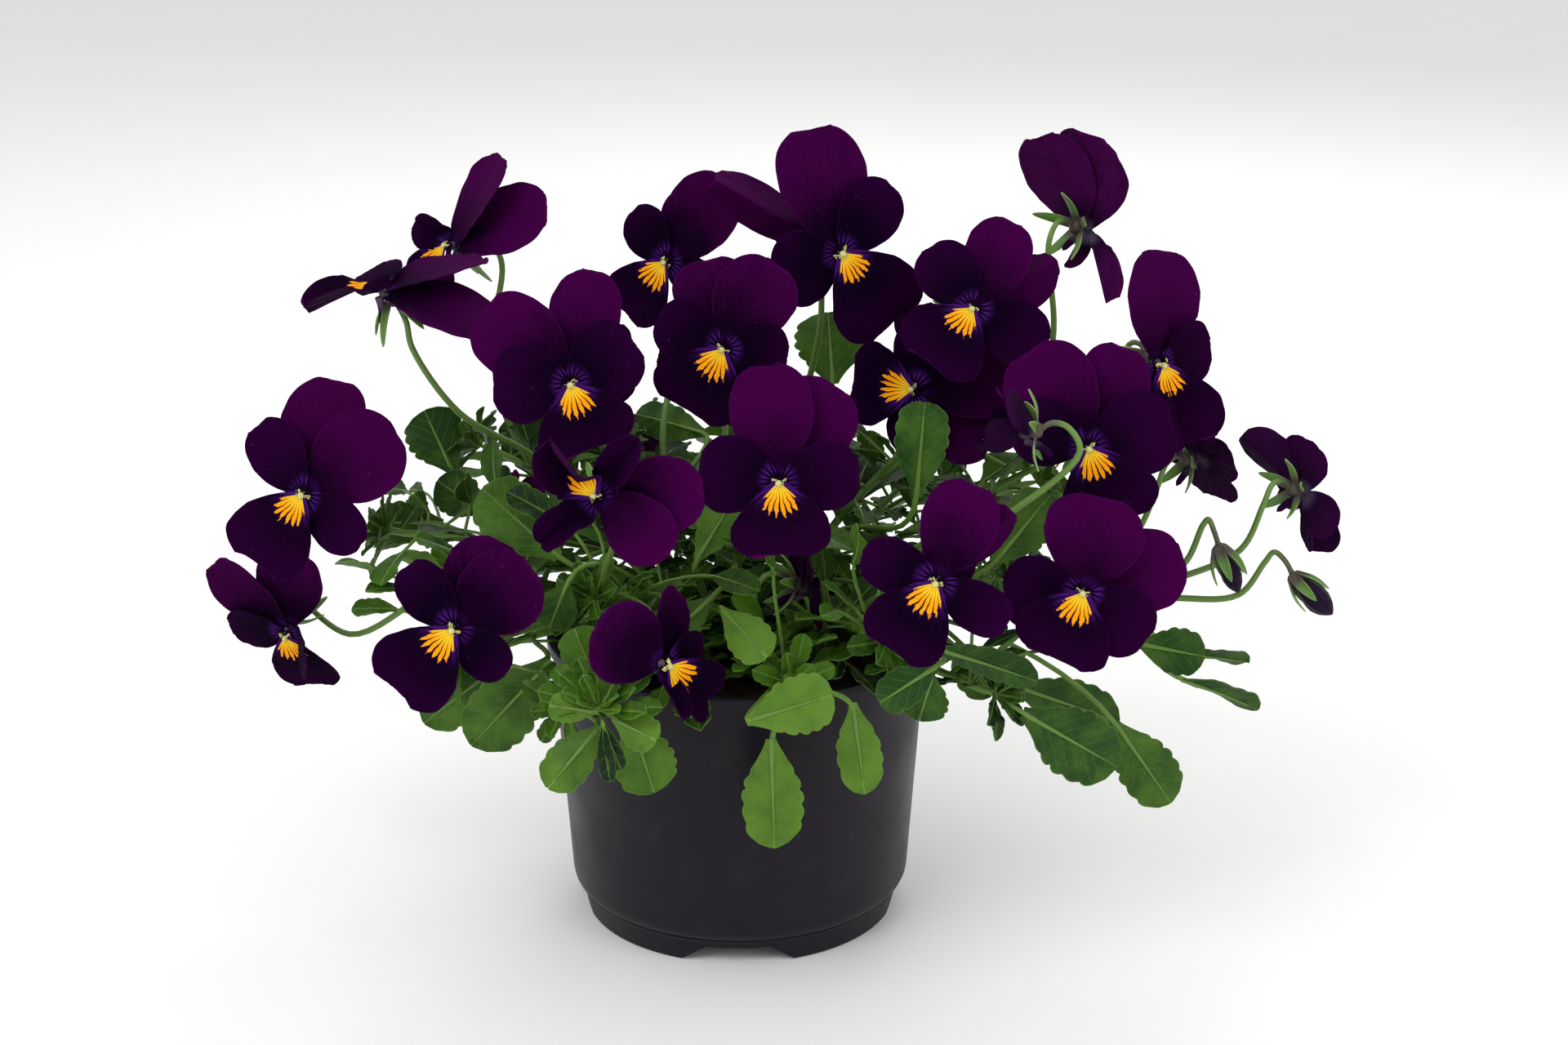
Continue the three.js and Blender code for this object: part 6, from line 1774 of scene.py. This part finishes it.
def build_soil(material):
    """The compost: a lumpy top with loose crumbs, and plain sides and base inside the pot."""
    skin = Skin()
    edge = wall_inside(SOIL["edge"])
    turns = np.arange(SOIL_SIDES) / SOIL_SIDES * math.tau
    rings = [ring_points(radius, turns, soil_height) for radius in np.linspace(0.4, edge, SOIL_RINGS)]
    low = POT["shoulder_height"] + POT["wall"] + 1
    foot = POT["foot_top"] - POT["wall"] - 1
    bottom = POT["notch_height"] + POT["floor"] + SOIL["gap"]
    for radius, height in [(wall_inside(low), low), (foot, low - 1), (foot, bottom), (1, bottom)]:
        rings.append(ring_points(radius, turns, height))
    points = np.array(rings).reshape(-1, 3)
    skin.add(points, ring_faces(len(rings), SOIL_SIDES, flipped=True), 0, points, 0.5)
    for crumb in range(CRUMBS["count"]):
        add_crumb(skin, crumb, edge)
    skin.build("soil_bed", [material], "root", "soil")


def add_crumb(skin, seed, edge):
    """One crumb of compost: a small lump half sunk in the bed."""
    turn = draw(seed, 41) * math.tau
    size = between(CRUMBS["size"], draw(seed, 43) ** 2)
    reach = math.sqrt(draw(seed, 42)) * (edge - size - 0.5)
    centre = vec(reach * math.cos(turn), reach * math.sin(turn), 0)
    centre[2] = soil_height(centre[0], centre[1]) + size * CRUMBS["lift"]
    lean = unit(vec(draw(seed, 44) - 0.5, draw(seed, 45) - 0.5, 0.4 + draw(seed, 46)))
    path = [centre + lean * (size * height) for height in CRUMBS["heights"]]
    radii = [
        size * radius * (0.85 + 0.3 * draw(seed, 50 + place))
        for place, radius in enumerate(CRUMBS["radii"])
    ]

    def knobbly(share, angle):
        small = CRUMBS["small_knobs"] * np.sin(angle * 2 + share * 5 + seed)
        return 1 + CRUMBS["knobs"] * np.sin(angle * 3 + seed) + small

    skin.tube(path, radii, 0, draw(seed, 47), 7, knobbly)


FLOOR_REACH = 3.0  # metres


def stage_floor():
    reach = FLOOR_REACH
    corners = [(-reach, -reach, 0), (reach, -reach, 0), (reach, reach, 0), (-reach, reach, 0)]
    mesh = bpy.data.meshes.new("floor")
    mesh.from_pydata(corners, [], [(0, 1, 2, 3)])
    net = Net("floor_pale", roughness=0.8)
    pale = net.mix(net.noise(90, 2), shade(250, 250, 249), shade(253, 253, 252))
    net.feed(net.shader.inputs["Base Color"], pale)
    mesh.materials.append(net.material)
    floor = bpy.data.objects.new("floor", mesh)
    bpy.context.scene.collection.objects.link(floor)


LIGHT_AIM = Vector((0.0, 0.0, 0.11))
WORLD_LIGHT = 0.72
# Each soft light's place and size in metres, and its power in watts.
LIGHTS = dict(
    key=dict(place=(-0.7, -0.8, 1.1), size=0.9, power=8),
    fill=dict(place=(0.9, -0.7, 0.7), size=0.9, power=3),
    back=dict(place=(0.2, 0.9, 0.9), size=0.8, power=4),
)


def soft_light(name, place, size, power):
    """A round soft light, turned to the middle of the plant."""
    data = bpy.data.lights.new(name, "AREA")
    data.shape = "DISK"
    data.size = size
    data.energy = power
    light = bpy.data.objects.new(name, data)
    light.location = place
    light.rotation_euler = (LIGHT_AIM - Vector(place)).to_track_quat("-Z", "Y").to_euler()
    bpy.context.scene.collection.objects.link(light)


def light_studio():
    world = bpy.data.worlds.new("studio")
    world.use_nodes = True
    background = world.node_tree.nodes["Background"]
    background.inputs["Color"].default_value = (1.0, 1.0, 1.0, 1.0)
    background.inputs["Strength"].default_value = WORLD_LIGHT
    bpy.context.scene.world = world
    bpy.context.scene.view_settings.view_transform = "Standard"
    for name, light in LIGHTS.items():
        soft_light(name, **light)


def set_camera():
    data = bpy.data.cameras.new("camera")
    data.sensor_width = VIEW["sensor"]
    data.lens = VIEW["focal"] / VIEW["width"] * VIEW["sensor"]
    camera = bpy.data.objects.new("camera", data)
    camera.location = VIEW["eye"] * MM
    camera.rotation_euler = ((90 - VIEW["pitch"]) * DEGREES, 0, 0)
    bpy.context.scene.collection.objects.link(camera)
    bpy.context.scene.camera = camera


def main():
    flowers = lay_out()
    grow_foliage()
    build_pot(pot_plastic())
    build_soil(compost())
    shoot_materials = [
        leaf_face("leaf_front", shade(12, 36, 12), shade(72, 114, 16), shade(98, 140, 54)),
        leaf_face("leaf_back", shade(34, 68, 22), shade(90, 128, 38), shade(114, 148, 68)),
        stem_green(), flower_stalk(), sepal_green(), calyx_base(),
    ]
    bloom_materials = [petal_front(kind) for kind in PETAL_FORMS] + [petal_back(), throat_pale()]
    bud_materials = [bud_petal()]
    for shoot in SHOOTS:
        build_shoot(shoot, shoot_materials)
    for bloom in flowers:
        if bloom["closed"]:
            build_bud(bloom, bud_materials)
        else:
            build_bloom(bloom, bloom_materials)
    stage_floor()
    light_studio()
    set_camera()


main()
